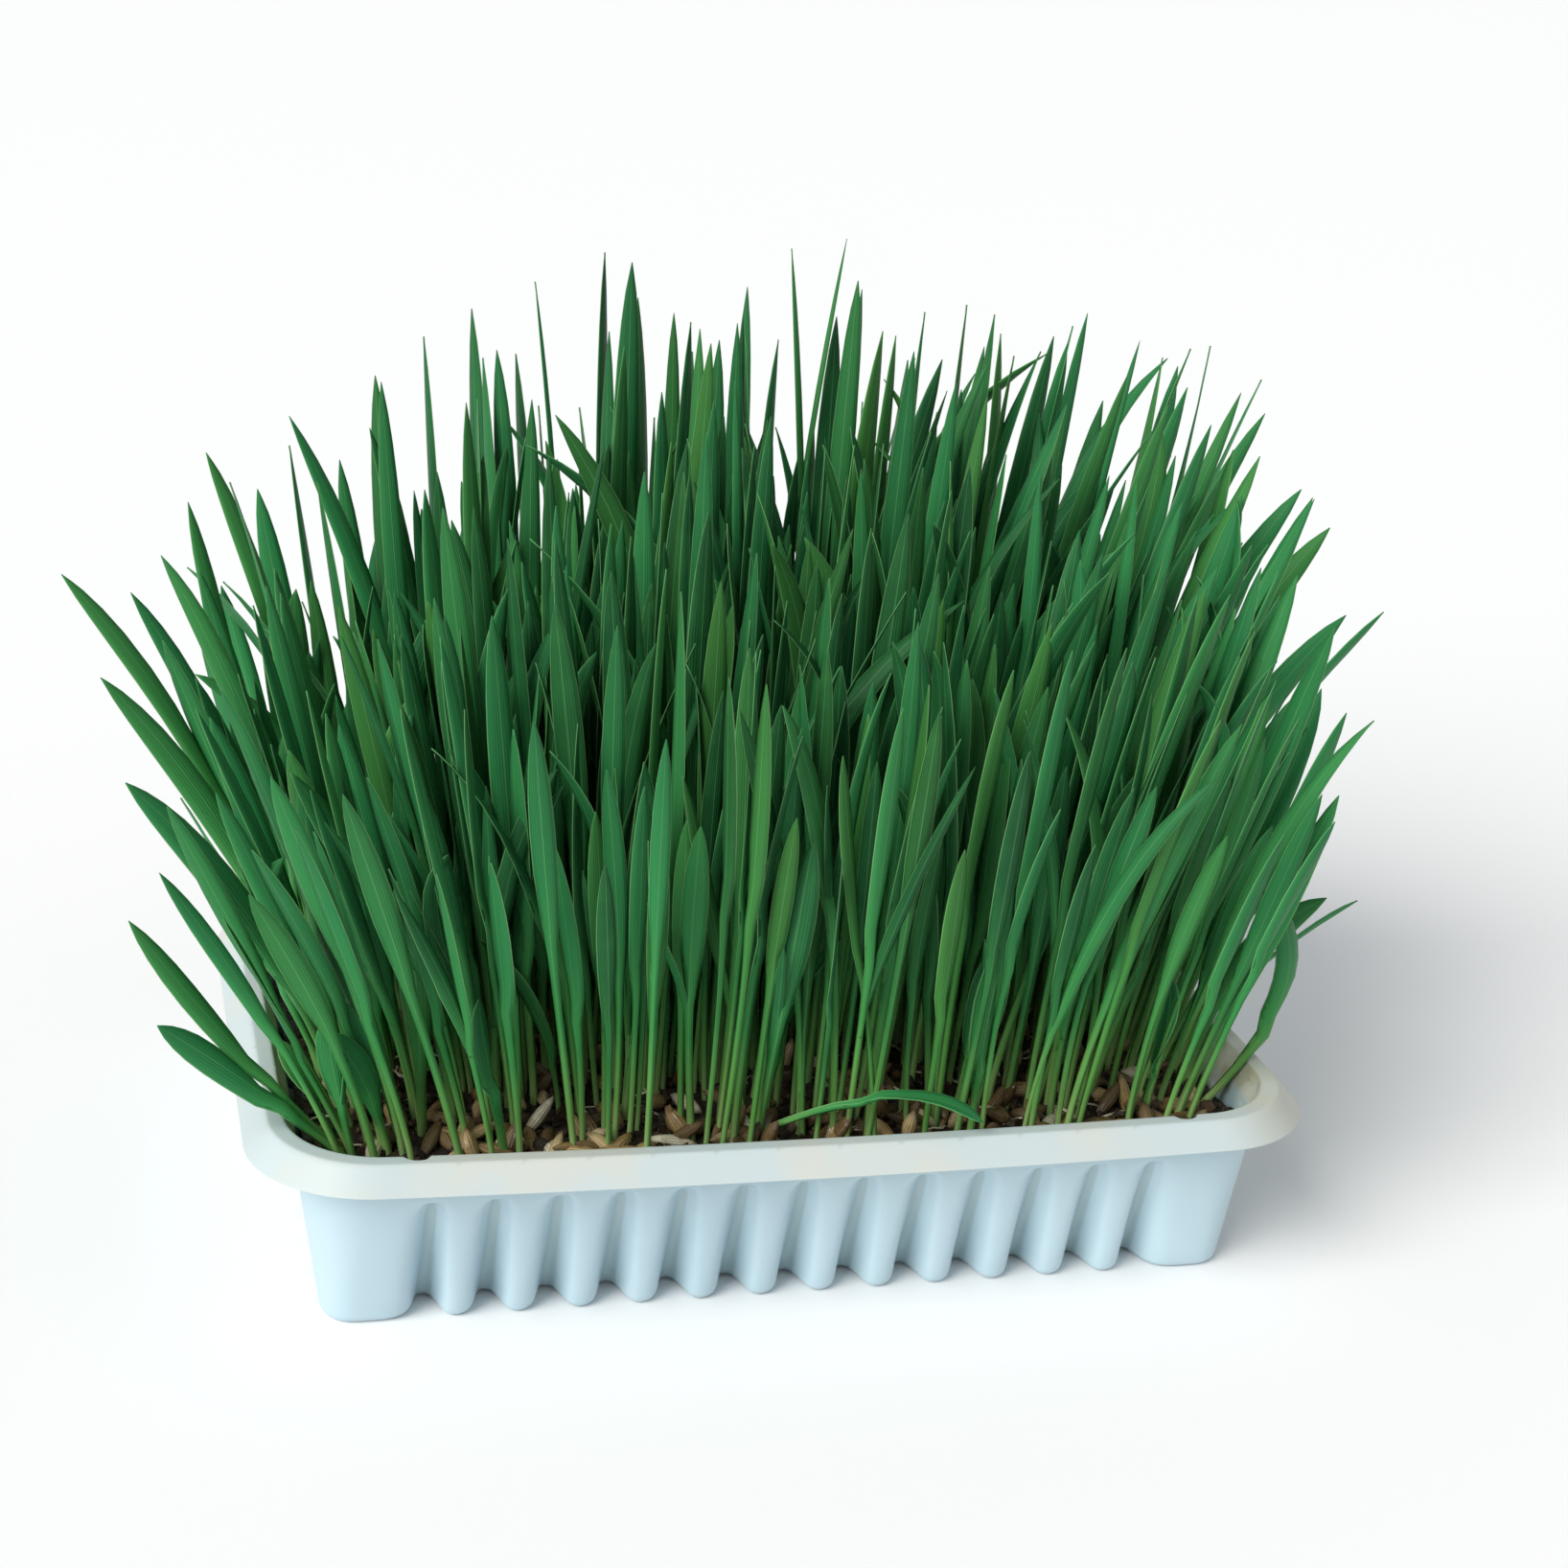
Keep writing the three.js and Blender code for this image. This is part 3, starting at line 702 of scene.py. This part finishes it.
def outer_rim():
    """Neck, ledge from below, skirt, crease and ledge from above, with small steps at each edge.

    Each row is a height, an inset, a corner radius, a bow and a share of the notches' depth.
    """
    underside = HEIGHT - WALL
    skirt = HEIGHT - RIM_DROP
    slope = CREASE_INSET / RIM_DROP
    return (
        (NECK_HEIGHT, NECK_INSET, NECK_RADIUS, RIM_BOW / 2, 0),
        (underside - 1.2, LEDGE_INSET - WALL + 0.5, LEDGE_RADIUS - 1.5, RIM_BOW * 0.85, 0.5),
        (underside, LEDGE_INSET - WALL, LEDGE_RADIUS, RIM_BOW, 1),
        (underside, CREASE_INSET + WALL / 2, CREASE_RADIUS, RIM_BOW, 0),
        (skirt, WALL, RIM_RADIUS - WALL / 2, RIM_BOW, 0),
        (skirt - 0.05, WALL * 0.7, RIM_RADIUS - WALL / 3, RIM_BOW, 0),
        (skirt - 0.05, WALL * 0.25, RIM_RADIUS - WALL / 6, RIM_BOW, 0),
        (skirt + 0.1, 0.0, RIM_RADIUS, RIM_BOW, 0),
        (skirt + 0.45, 0.35 * slope, RIM_RADIUS - 0.25, RIM_BOW, 0),
        (HEIGHT - 0.7, CREASE_INSET - 0.7 * slope, CREASE_RADIUS + 0.5, RIM_BOW, 0),
        (HEIGHT - 0.2, CREASE_INSET - 0.2 * slope, CREASE_RADIUS + 0.14, RIM_BOW, 0),
        (HEIGHT - 0.03, CREASE_INSET + 0.08, CREASE_RADIUS, RIM_BOW, 0),
        (HEIGHT, CREASE_INSET + 0.3, CREASE_RADIUS - 0.2, RIM_BOW, 0),
        (HEIGHT, CREASE_INSET + 0.7, CREASE_RADIUS - 0.5, RIM_BOW, 0),
        (HEIGHT, LEDGE_INSET - 0.7, LEDGE_RADIUS + 0.4, RIM_BOW, 0.6),
        (HEIGHT - 0.02, LEDGE_INSET - 0.3, LEDGE_RADIUS + 0.2, RIM_BOW, 0.9),
    )


def inner_rim():
    """The ledge's inner edge, and down to the neck inside the tray, in the same columns."""
    return (
        (HEIGHT - 0.2, LEDGE_INSET - 0.02, LEDGE_RADIUS, RIM_BOW, 1),
        (HEIGHT - 0.7, LEDGE_INSET + 0.2, LEDGE_RADIUS - 0.3, RIM_BOW * 0.95, 1),
        (HEIGHT - 2.0, LEDGE_INSET + 0.8, LEDGE_RADIUS - 2, RIM_BOW * 0.75, 0.6),
        (NECK_HEIGHT, NECK_INSET + WALL, NECK_RADIUS, RIM_BOW / 2, 0),
    )


def tray_levels():
    """Levels from the floor's outside, up and over the rim, and down inside; and which are inside."""
    levels = []
    for angle in np.linspace(0.0, math.pi / 2, BASE_STEPS):
        levels.append(fluted_level(BASE_ROUND * (1 - math.cos(angle)),
                                   BASE_ROUND * (1 - math.sin(angle))))
    heights = body_heights()
    levels += [fluted_level(z, 0.0) for z in heights]
    levels += [level(*row) for row in outer_rim()]
    inner_start = len(levels)
    levels += [level(*row) for row in inner_rim()]
    levels += [fluted_level(z, WALL) for z in reversed(heights)]
    levels.append(fluted_level(WALL, BASE_ROUND + WALL / 5))
    return levels, inner_start


def build_tray(material):
    levels, inner_start = tray_levels()
    count = len(levels[0][0])
    inside = np.repeat(np.arange(len(levels)) >= inner_start, count)
    tone = np.column_stack((np.concatenate([shares for _, shares in levels]), inside))
    shape = Shape()
    shape.add(np.concatenate([loop for loop, _ in levels]), ring_faces(len(levels), count), tone=tone)
    tray = shape.build("tray_skin", material)
    tray.data.set_sharp_from_angle(angle=SHARP_ANGLE)
    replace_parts(tray, "tray")


# Soil: an uneven block that fills the tray, with crumbs, grains and roots on it
SOIL_HALF_X = LENGTH / 2 - body_inset(SOIL_TOP) - WALL - SOIL_GAP
SOIL_HALF_Y = WIDTH / 2 - body_inset(SOIL_TOP) - WALL - SOIL_GAP
SOIL_CORNER = body_radius(SOIL_TOP) - WALL


def soil_height(x, y):
    """The soil's surface as the frame has it: three sets of waves across each other."""
    waves = (math.sin(0.31 * x + 0.9) * math.cos(0.27 * y)
             + 0.7 * math.sin(0.13 * x - 0.35 * y)
             + 0.5 * math.cos(0.45 * x + 0.21 * y + 2))
    return SOIL_TOP + SOIL_RELIEF * waves / WAVES_SUM


def rough_height(x, y):
    """The soil's surface with its lumps."""
    lumps = noise.fractal(Vector((x, y, LUMP_PLANE)) * LUMP_SCALE,
                          LUMP_DIMENSION, LUMP_LACUNARITY, LUMP_OCTAVES)
    return soil_height(x, y) + LUMP_HEIGHT * lumps


def soil_half_length(y):
    """Half the soil's length at this distance from its middle line."""
    past = abs(y) - (SOIL_HALF_Y - SOIL_CORNER)
    if past <= 0:
        return SOIL_HALF_X
    return SOIL_HALF_X - SOIL_CORNER + math.sqrt(max(0.0, SOIL_CORNER ** 2 - past ** 2))


def soil_place(rng, margin):
    """Somewhere on the soil, at least this far from its edge."""
    y = rng.uniform(-SOIL_HALF_Y + margin, SOIL_HALF_Y - margin)
    half = soil_half_length(y) - margin
    return rng.uniform(-half, half), y


def grid_border(columns, rows):
    """Numbers of the points round the edge of a grid, counted row by row."""
    wide = columns + 1
    return ([c for c in range(wide)] + [r * wide + columns for r in range(1, rows + 1)]
            + [rows * wide + c for c in range(columns - 1, -1, -1)]
            + [r * wide for r in range(rows - 1, 0, -1)])


def build_soil(material):
    columns = int(2 * SOIL_HALF_X / SOIL_STEP)
    rows = int(2 * SOIL_HALF_Y / SOIL_STEP)
    points = []
    for row in range(rows + 1):
        y = ramp(-SOIL_HALF_Y, SOIL_HALF_Y, row / rows)
        half = soil_half_length(y)
        for column in range(columns + 1):
            x = ramp(-half, half, column / columns)
            points.append((x, y, rough_height(x, y)))
    wide = columns + 1
    faces = [(r * wide + c, r * wide + c + 1, (r + 1) * wide + c + 1, (r + 1) * wide + c)
             for r in range(rows) for c in range(columns)]
    border = grid_border(columns, rows)
    count = len(border)
    upper = border
    for z, inset in SOIL_SIDES:
        scale_x, scale_y = 1 - inset / SOIL_HALF_X, 1 - inset / SOIL_HALF_Y
        lower = [len(points) + i for i in range(count)]
        points += [(points[i][0] * scale_x, points[i][1] * scale_y, z) for i in border]
        faces += [(lower[i], lower[(i + 1) % count], upper[(i + 1) % count], upper[i])
                  for i in range(count)]
        upper = lower
    faces.append(tuple(reversed(upper)))
    shape = Shape()
    shape.add(points, faces, tone=SOIL_TONE)
    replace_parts(shape.build("soil_surface", material), "soil")


def lump(subdivisions):
    """A ball of triangles, as points and faces."""
    ball = bmesh.new()
    bmesh.ops.create_icosphere(ball, subdivisions=subdivisions, radius=1.0)
    points = np.array([v.co[:] for v in ball.verts])
    faces = [[v.index for v in f.verts] for f in ball.faces]
    ball.free()
    return points, faces


def build_crumbs(name, material, count, sizes, subdivisions, seed):
    """Jagged balls of soil, most of them near the smaller of the two sizes."""
    rng = np.random.default_rng(seed)
    ball, faces = lump(subdivisions)
    shape = Shape()
    for _ in range(count):
        size = sizes[0] + (sizes[1] - sizes[0]) * rng.random() ** 2
        x, y = soil_place(rng, CRUMB_MARGIN + size / 2)
        stretch = rng.uniform(*CRUMB_STRETCH, 3) * size / 2
        jag = 1 + rng.uniform(-CRUMB_JAG, CRUMB_JAG, (len(ball), 1))
        axis = (rng.uniform(0, CRUMB_TURN), 3, Vector(rng.normal(size=3)))
        points = (ball * jag * stretch) @ np.array(Matrix.Rotation(*axis)).T
        points += (x, y, rough_height(x, y) + size * rng.uniform(*CRUMB_LIFT))
        shape.add(points, faces, tone=(rng.random() ** 2, 0.0))
    shape.build(name, material, smooth=False)


def grain_points(length, width):
    """A husked grain along X: plump, pointed at both ends, with a crease along its belly."""
    points, place = [], []
    for i in range(GRAIN_RINGS):
        t = i / (GRAIN_RINGS - 1)
        radius = width / 2 * math.sin(math.pi * np.clip(t, *GRAIN_ENDS)) ** GRAIN_POINT
        radius *= ramp(*GRAIN_BELLY, math.sin(math.pi * t * GRAIN_BELLY_RUN))
        for j in range(GRAIN_SIDES):
            angle = 2 * math.pi * j / GRAIN_SIDES
            off = (angle - math.pi * 1.5) / GRAIN_CREASE_WIDTH
            crease = 1 - GRAIN_CREASE_DEPTH * math.exp(-off ** 2)
            points.append((length * (t - 0.5), radius * crease * math.cos(angle),
                           GRAIN_FLATNESS * radius * crease * math.sin(angle)))
            place.append((j / GRAIN_SIDES, t))
    return np.array(points), ring_faces(GRAIN_RINGS, GRAIN_SIDES, flip=True), place


def grain_place(rng, front):
    """Somewhere on the soil, or in the strip along its front."""
    x, y = soil_place(rng, GRAIN_MARGIN)
    if front:
        y = ramp(-SOIL_HALF_Y + GRAIN_MARGIN, y, FRONT_STRIP)
        reach = soil_half_length(y) - GRAIN_MARGIN
        x = np.clip(x, -reach, reach)
    return x, y


def grain_pose(rng, x, y):
    """A grain's tilt and heading: at any angle, but along the wall where it is close to one."""
    tilt = rng.choice((rng.normal(0, LYING_TILT), rng.uniform(*STEEP_TILTS)), p=TILT_CHANCES)
    heading = rng.uniform(0, 2 * math.pi)
    at_end = abs(x) > SOIL_HALF_X - WALL_STRIP
    at_side = abs(y) > SOIL_HALF_Y - WALL_STRIP
    if at_end or at_side:
        tilt = rng.normal(0, WALL_TILT)
        slant = rng.normal(0, WALL_SLANT)
        corner = abs(x) > SOIL_HALF_X - CORNER_STRIP and abs(y) > SOIL_HALF_Y - CORNER_STRIP
        along = math.pi / 4 * np.sign(-x * y) if corner else 0.0
        heading = slant + (along if at_side or corner else math.pi / 2)
    return tilt, heading


def build_grains(material):
    rng = np.random.default_rng(GRAIN_SEED)
    shape = Shape()
    for index in range(GRAIN_COUNT):
        x, y = grain_place(rng, index < FRONT_GRAINS)
        length = rng.uniform(*GRAIN_LENGTHS)
        points, faces, place = grain_points(length, rng.uniform(*GRAIN_WIDTHS))
        tilt, heading = grain_pose(rng, x, y)
        turn = (Matrix.Rotation(heading, 3, "Z") @ Matrix.Rotation(-tilt, 3, "Y")
                @ Matrix.Rotation(rng.uniform(0, 2 * math.pi), 3, "X"))
        points = points @ np.array(turn).T
        lift = rng.uniform(*GRAIN_LIFT) + abs(math.sin(tilt)) * length * TILT_LIFT
        points += (x, y, rough_height(x, y) + lift)
        tone = PALE_TONE if rng.random() < PALE_CHANCE else rng.uniform(*GRAIN_TONES)
        shape.add(points, faces, place, (tone, 0.0))
    shape.build("husked_grains", material)


def tube(shape, line, radii):
    """A closed tube along a line of points."""
    line = np.asarray(line, dtype=float)
    ahead = np.gradient(line, axis=0)
    points = []
    for point, way, radius in zip(line, ahead, radii):
        quat = Vector(way).to_track_quat("Z", "Y")
        for j in range(STRAND_SIDES):
            angle = 2 * math.pi * j / STRAND_SIDES
            offset = quat @ Vector((radius * math.cos(angle), radius * math.sin(angle), 0))
            points.append(point + np.array(offset))
    shape.add(points, ring_faces(len(line), STRAND_SIDES))


def build_roots(material):
    """Thin roots that creep over the soil, with both ends in it."""
    rng = np.random.default_rng(STRAND_SEED)
    shape = Shape()
    for _ in range(STRAND_COUNT):
        x, y = soil_place(rng, STRAND_MARGIN)
        heading = rng.uniform(0, 2 * math.pi)
        line = []
        for i in range(STRAND_STEPS):
            lift = STRAND_RISE * math.sin(math.pi * i / (STRAND_STEPS - 1))
            line.append((x, y, rough_height(x, y) + lift))
            heading += rng.normal(0, STRAND_BEND)
            x += STRAND_STEP * math.cos(heading)
            y += STRAND_STEP * math.sin(heading)
        tube(shape, line, np.linspace(*STRAND_RADII, STRAND_STEPS))
    shape.build("surface_roots", material)


# Grass
def lean_out(x, y, z):
    """Where something rooted at (x, y) stands once it has risen to z."""
    rise = max(0.0, (z - SOIL_TOP) / LEAN_HEIGHT) ** LEAN_POWER
    side, depth = x / HALF_X, y / HALF_Y
    if side < 0:
        reach = -LEAN_LEFT * (1 - LEFT_TAPER * depth)
    else:
        reach = LEAN_RIGHT * (1 - RIGHT_TAPER * depth)
    return np.array((x + reach * side ** 2 * rise, y + LEAN_DEPTH * depth * abs(depth) * rise, z))


def height_at(x, y):
    """How tall the grass is here: taller at the back, and lower towards both ends."""
    loss = LOSS_LEFT if x < 0 else LOSS_RIGHT
    return (MEAN_HEIGHT + BACK_GAIN * y / HALF_Y) * (1 - loss * (x / HALF_X) ** 2)


def leaf_axes(line, facing, twist):
    """Directions across a leaf and out of its face, at each of its stations."""
    ahead = np.gradient(line, axis=0)
    ahead /= np.linalg.norm(ahead, axis=1)[:, None]
    angle = facing + twist * np.clip(STATIONS, 0, 1)
    across = np.column_stack((np.cos(angle), np.sin(angle), np.zeros(len(angle))))
    across -= ahead * np.sum(across * ahead, axis=1)[:, None]
    across /= np.linalg.norm(across, axis=1)[:, None]
    return across, np.cross(ahead, across)


def leaf_sections(flat, roll):
    """How far aside and how far out the points of each section lie: one face, then the other."""
    radius = (flat / roll)[:, None]
    bend = SECTION[None, :] * roll[:, None]
    aside = radius * np.sin(bend)
    out = radius * (1 - np.cos(bend)) - radius * (roll[:, None] > STEM_ROLL) * STEM_SINK
    thick = ramp(RIB_THICK, EDGE_THICK, np.abs(SECTION) * 2) / 2
    inward, outward = thick * np.sin(bend), thick * np.cos(bend)
    return (np.hstack((aside - inward, (aside + inward)[:, ::-1])),
            np.hstack((out + outward, (out - outward)[:, ::-1])))


def leaf(shape, line, width, facing, twist, tone, sheath=SHEATH, widths=WIDTH_AT,
         rolls=ROLL_AT, paint_from=0.0):
    """A thin closed leaf along a line: rolled into its own stem at the foot, pointed at the tip."""
    stage = np.interp(STATIONS, (BELOW_FOOT, 0.0, sheath, 1.0), (BELOW_FOOT, 0.0, SHEATH, 1.0))
    across, upper = leaf_axes(line, facing, twist)
    aside, out = leaf_sections(width * np.interp(stage, *zip(*widths)),
                               np.interp(stage, *zip(*rolls)))
    rings = line[:, None] + aside[..., None] * across[:, None] + out[..., None] * upper[:, None]
    around = np.concatenate((SECTION, SECTION[::-1])) + 0.5
    paint = ramp(paint_from, 1.0, np.clip(STATIONS, 0, 1))
    place = np.stack(np.meshgrid(around, paint), axis=-1).reshape(-1, 2)
    shape.add(rings.reshape(-1, 3), ring_faces(len(line), len(around), flip=True), place, tone)


def leaf_tone(rng, x):
    """How bright a leaf is, at random and with painted light added at both ends of the tray, and how
    yellow: both 0 to 1.
    """
    # painted light: leaves towards both ends of the tray are made brighter
    bright = BRIGHT_SPREAD * rng.random() ** BRIGHT_RARITY + END_PAINTED_LIGHT * (x / HALF_X) ** 2
    return (min(1.0, bright), rng.random() ** YELLOW_RARITY)


def second_leaf(shape, rng, stem, height):
    """A narrow second leaf that comes out of a shoot's sheath part of the way up."""
    start = rng.integers(*SECOND_START)
    foot = stem[start]
    length = height * rng.uniform(*SECOND_LENGTHS)
    heading = rng.uniform(0, 2 * math.pi)
    spread = rng.uniform(*SECOND_SPREAD)
    way = np.array((math.cos(heading), SECOND_DEPTH * math.sin(heading), 0.0))
    up = (stem[start + 1] - stem[start - 1]) / np.linalg.norm(stem[start + 1] - stem[start - 1])
    t = np.clip(STATIONS, 0, 1)[:, None]
    line = foot + up * length * t + way * length * spread * t ** SECOND_POWER
    line[0] -= up * SECOND_TUCK
    leaf(shape, line, LEAF_WIDTH * rng.uniform(*SECOND_WIDTHS),
         rng.uniform(-SECOND_TURN, SECOND_TURN), rng.normal(0, SECOND_TWIST),
         (rng.random() * SECOND_BRIGHTNESS, 0.0), SHEATH, NARROW_LEAF, OPEN_LEAF, SECOND_PAINT)


def clump_place(column, row):
    shift = ROW_SHIFT if row % 2 else -ROW_SHIFT
    return ((column - (COLUMNS - 1) / 2) * COLUMN_PITCH + shift, (row - (ROWS - 1) / 2) * ROW_PITCH)


def shoot_line(place, root, tip, height, sway):
    """Points up a shoot, which spreads from root to tip, leans out and sways a little."""
    line = []
    for t in STATIONS:
        out = max(t, 0.0) ** SPREAD_POWER
        curve = sway * math.sin(math.pi * max(t, 0.0))
        point = lean_out(place[0] + ramp(root[0], tip[0], out),
                         place[1] + ramp(root[1], tip[1], out), CROWN_TOP + t * height)
        line.append(point + (curve[0], curve[1], 0))
    return np.array(line)


def shoot(shape, place, index, draw, rng):
    """One of the frame's shoots, with its height, lean and turn, and with looser roots."""
    slot = (index % SHOOT_SIDE - 1, index // SHOOT_SIDE - 1)
    wander = (next(draw) - 0.5, next(draw) - 0.5)
    root = [s * ROOT_SPREAD * ROOT_LOOSENING + w * ROOT_WANDER * WANDER_LOOSENING
            for s, w in zip(slot, wander)]
    tip = [s * spread + w * TIP_WANDER for s, spread, w in zip(slot, TIP_SPREAD, wander)]
    height = height_at(place[0] + tip[0], place[1] + tip[1]) * ramp(SHORTEST, TALLEST, next(draw))
    width = LEAF_NARROWING * LEAF_WIDTH * ramp(NARROWEST, WIDEST, next(draw))
    facing = (next(draw) - 0.5) * LEAF_TURN
    twist = (next(draw) - 0.5) * LEAF_TWIST
    line = shoot_line(place, root, tip, height, rng.uniform(-SHOOT_SWAY, SHOOT_SWAY, 2))
    front = np.interp(place[1], FRONT_BAND, (1.0, 0.0))
    sheath = rng.uniform(*SHOOT_SHEATHS) + FRONT_SHEATH * front
    leaf(shape, line, width * (1 - FRONT_NARROWING * front), facing, twist,
         leaf_tone(rng, line[-1, 0]), sheath)
    if rng.random() < SECOND_SHARE:
        second_leaf(shape, rng, line, height)


def arc(points):
    """A quadratic curve through a root, a bend and a tip, at the leaf's stations."""
    root, middle, tip = (np.array(p, dtype=float) for p in points)
    t = np.clip(STATIONS, 0, 1)[:, None]
    line = root * (1 - t) ** 2 + 2 * middle * t * (1 - t) + tip * t ** 2
    line[0] += (root - middle) * ARC_TUCK
    return line


def build_clumps(material):
    """The frame's clumps, each from its own seed, with the leaves that hang out over the rim."""
    for row in range(ROWS):
        for column in range(COLUMNS):
            number = row * COLUMNS + column + 1
            draw = draws(FIRST_SEED + SEED_STEP * (number - 1))
            next(draw)
            rng = np.random.default_rng(number)
            shape = Shape()
            place = clump_place(column, row)
            for index in range(SHOOT_SIDE ** 2):
                if next(draw) > SHOOTS_MISSING:
                    shoot(shape, place, index, draw, rng)
            for clump, points, size in STRAYS:
                if clump == (column, row):
                    leaf(shape, arc(points), LEAF_WIDTH * size, math.pi / 2, STRAY_TWIST,
                         leaf_tone(rng, points[-1][0]))
            piece = shape.build(f"leaves_{number:02d}", material)
            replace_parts(piece, f"grass_clump_{number:02d}")


def wandering_line(rng, x, y, height, drift):
    """A shoot of its own that follows the sward's lean, strays by drift and droops at its tip."""
    sway = rng.uniform(-FILL_SWAY, FILL_SWAY, 2) * height
    droop = rng.normal(0, DROOP, 2) * DROOP_WAY * height * (rng.random() < DROOPING_SHARE)
    line = []
    for t in STATIONS:
        rise = max(t, 0.0)
        loss = np.hypot(*droop) * DROOP_LOSS * rise ** DROOP_POWER
        point = lean_out(x, y, CROWN_TOP + t * height - loss)
        point[:2] += np.array(drift) * rise ** DRIFT_POWER + sway * math.sin(math.pi * rise)
        point[:2] += droop * rise ** DROOP_POWER
        line.append(point)
    line = np.array(line)
    over = max(0.0, abs(line[-1, 0]) - TIP_REACH_X)
    line[:, 0] -= np.sign(line[-1, 0]) * over * np.clip(STATIONS, 0, 1) ** DRIFT_POWER
    return line


def fill_shoot(shape, rng, x, y):
    """A shoot between the frame's own, of any height, width, drift and twist."""
    share = rng.choice((rng.uniform(*FILL_HEIGHTS), rng.uniform(*LATE_HEIGHTS)), p=HEIGHT_CHANCES)
    height = height_at(x, y) * share * (1 + RIGHT_GAIN * min(x, RIGHT_GAIN_X) / RIGHT_GAIN_X)
    loose = np.interp(y, (FRONT_Y, FULL_Y), DRIFT_ACROSS)
    drift = np.clip(rng.normal(0, (loose, DRIFT_DEPTH), 2), -DRIFT_SHARE, DRIFT_SHARE) * height
    line = wandering_line(rng, x, y, height, np.clip(drift, -DRIFT_REACH, DRIFT_REACH))
    width = LEAF_WIDTH * rng.uniform(*FILL_WIDTHS)
    if rng.random() < PLAIN_TWIST_SHARE:
        twist = rng.normal(0, FILL_TWIST)
    else:
        twist = rng.uniform(-STRONG_TWIST, STRONG_TWIST)
    leaf(shape, line, width, rng.uniform(-FILL_TURN, FILL_TURN), twist,
         leaf_tone(rng, line[-1, 0]), rng.uniform(*FILL_SHEATHS))
    if rng.random() < SECOND_SHARE:
        second_leaf(shape, rng, line, height)


def build_filling(material):
    """The rest of the sward, in two pieces that take turns over the soil."""
    rng = np.random.default_rng(FILL_SEED)
    for half in range(2):
        shape = Shape()
        for row in range(FILL_ROWS):
            for column in range(FILL_COLUMNS):
                y = ramp(-SOIL_HALF_Y + FILL_MARGIN, SOIL_HALF_Y - FILL_MARGIN,
                         (row + rng.random()) / FILL_ROWS)
                reach = soil_half_length(y) - FILL_MARGIN
                x = ramp(-reach, reach, (column + rng.random()) / FILL_COLUMNS)
                kept = rng.random() < np.interp(y, (FRONT_Y, FULL_Y), (FRONT_SHARE, 1.0))
                if kept and (column + row) % 2 == half:
                    fill_shoot(shape, rng, x, y)
        shape.build(f"sward_{half + 1}", material)


def build_outliers(material):
    rng = np.random.default_rng(OUTLIER_SEED)
    shape = Shape()
    for root, tip, width in OUTLIERS:
        root = (*root, CROWN_TOP)
        bend_from = (root[0], root[1], SOIL_TOP)
        middle = [ramp(a, b, share) for a, b, share in zip(bend_from, tip, OUTLIER_BEND)]
        leaf(shape, arc((root, middle, tip)), LEAF_WIDTH * width, rng.normal(0, OUTLIER_TURN),
             rng.normal(0, OUTLIER_TURN), leaf_tone(rng, tip[0]), rng.uniform(*OUTLIER_SHEATHS))
    leaf(shape, arc(DROOPING), LEAF_WIDTH * DROOPING_WIDTH, DROOPING_TURN, DROOPING_TWIST,
         DROOPING_TONE, DROOPING_SHEATH)
    shape.build("outliers", material)


# Stage
def aim_camera():
    """Stand where the photograph was taken from."""
    az, el, roll = CAMERA_AZIMUTH, CAMERA_ELEVATION, CAMERA_ROLL
    back = Vector((math.sin(az) * math.cos(el), -math.cos(az) * math.cos(el), math.sin(el)))
    right = Vector((math.cos(az), math.sin(az), 0))
    up = back.cross(right)
    tilted_right = right * math.cos(roll) + up * math.sin(roll)
    tilted_up = up * math.cos(roll) - right * math.sin(roll)
    data = bpy.data.cameras.new("photo_camera")
    data.sensor_width = SENSOR_WIDTH
    data.lens = data.sensor_width * PHOTO_FOCAL / PHOTO_PIXELS
    data.clip_start = NEAR_CLIP
    camera = bpy.data.objects.new("photo_camera", data)
    place = (Vector(CAMERA_TARGET) + back * CAMERA_DISTANCE) * MM
    axes = Matrix((tilted_right, tilted_up, back)).transposed()
    camera.matrix_world = Matrix.Translation(place) @ axes.to_4x4()
    bpy.context.scene.collection.objects.link(camera)
    bpy.context.scene.camera = camera


def build_floor():
    n = Nodes("pale_floor")
    n.set(Base_Color=FLOOR_COLOUR, Roughness=0.9)
    n.bump(n.noise(2.0), strength=0.02, distance=0.01)
    mesh = bpy.data.meshes.new("floor")
    half = FLOOR_HALF
    mesh.from_pydata([(-half, -half, 0), (half, -half, 0), (half, half, 0), (-half, half, 0)],
                     [], [(0, 1, 2, 3)])
    mesh.materials.append(n.material)
    floor = bpy.data.objects.new("floor", mesh)
    bpy.context.scene.collection.objects.link(floor)


def light_room():
    world = bpy.data.worlds.new("soft_room")
    world.use_nodes = True
    background = world.node_tree.nodes["Background"]
    background.inputs["Color"].default_value = SKY_COLOUR
    background.inputs["Strength"].default_value = SKY_STRENGTH
    bpy.context.scene.world = world
    data = bpy.data.lights.new("key", "SUN")
    data.energy = SUN_STRENGTH
    data.angle = SUN_SIZE
    data.color = SUN_COLOUR
    key = bpy.data.objects.new("key", data)
    key.rotation_euler = Vector(SUN_WAY).to_track_quat("-Z", "Y").to_euler()
    bpy.context.scene.collection.objects.link(key)
    bpy.context.scene.view_settings.view_transform = "Standard"
    bpy.context.scene.view_settings.look = "None"


aim_camera()
build_floor()
light_room()
build_tray(plastic_material())
soil_look = soil_material()
build_soil(soil_look)
build_crumbs("fine_crumbs", soil_look, *FINE_CRUMBS)
build_crumbs("coarse_crumbs", soil_look, *COARSE_CRUMBS)
build_grains(grain_material())
build_roots(root_material())
leaf_look = leaf_material()
build_clumps(leaf_look)
build_filling(leaf_look)
build_outliers(leaf_look)
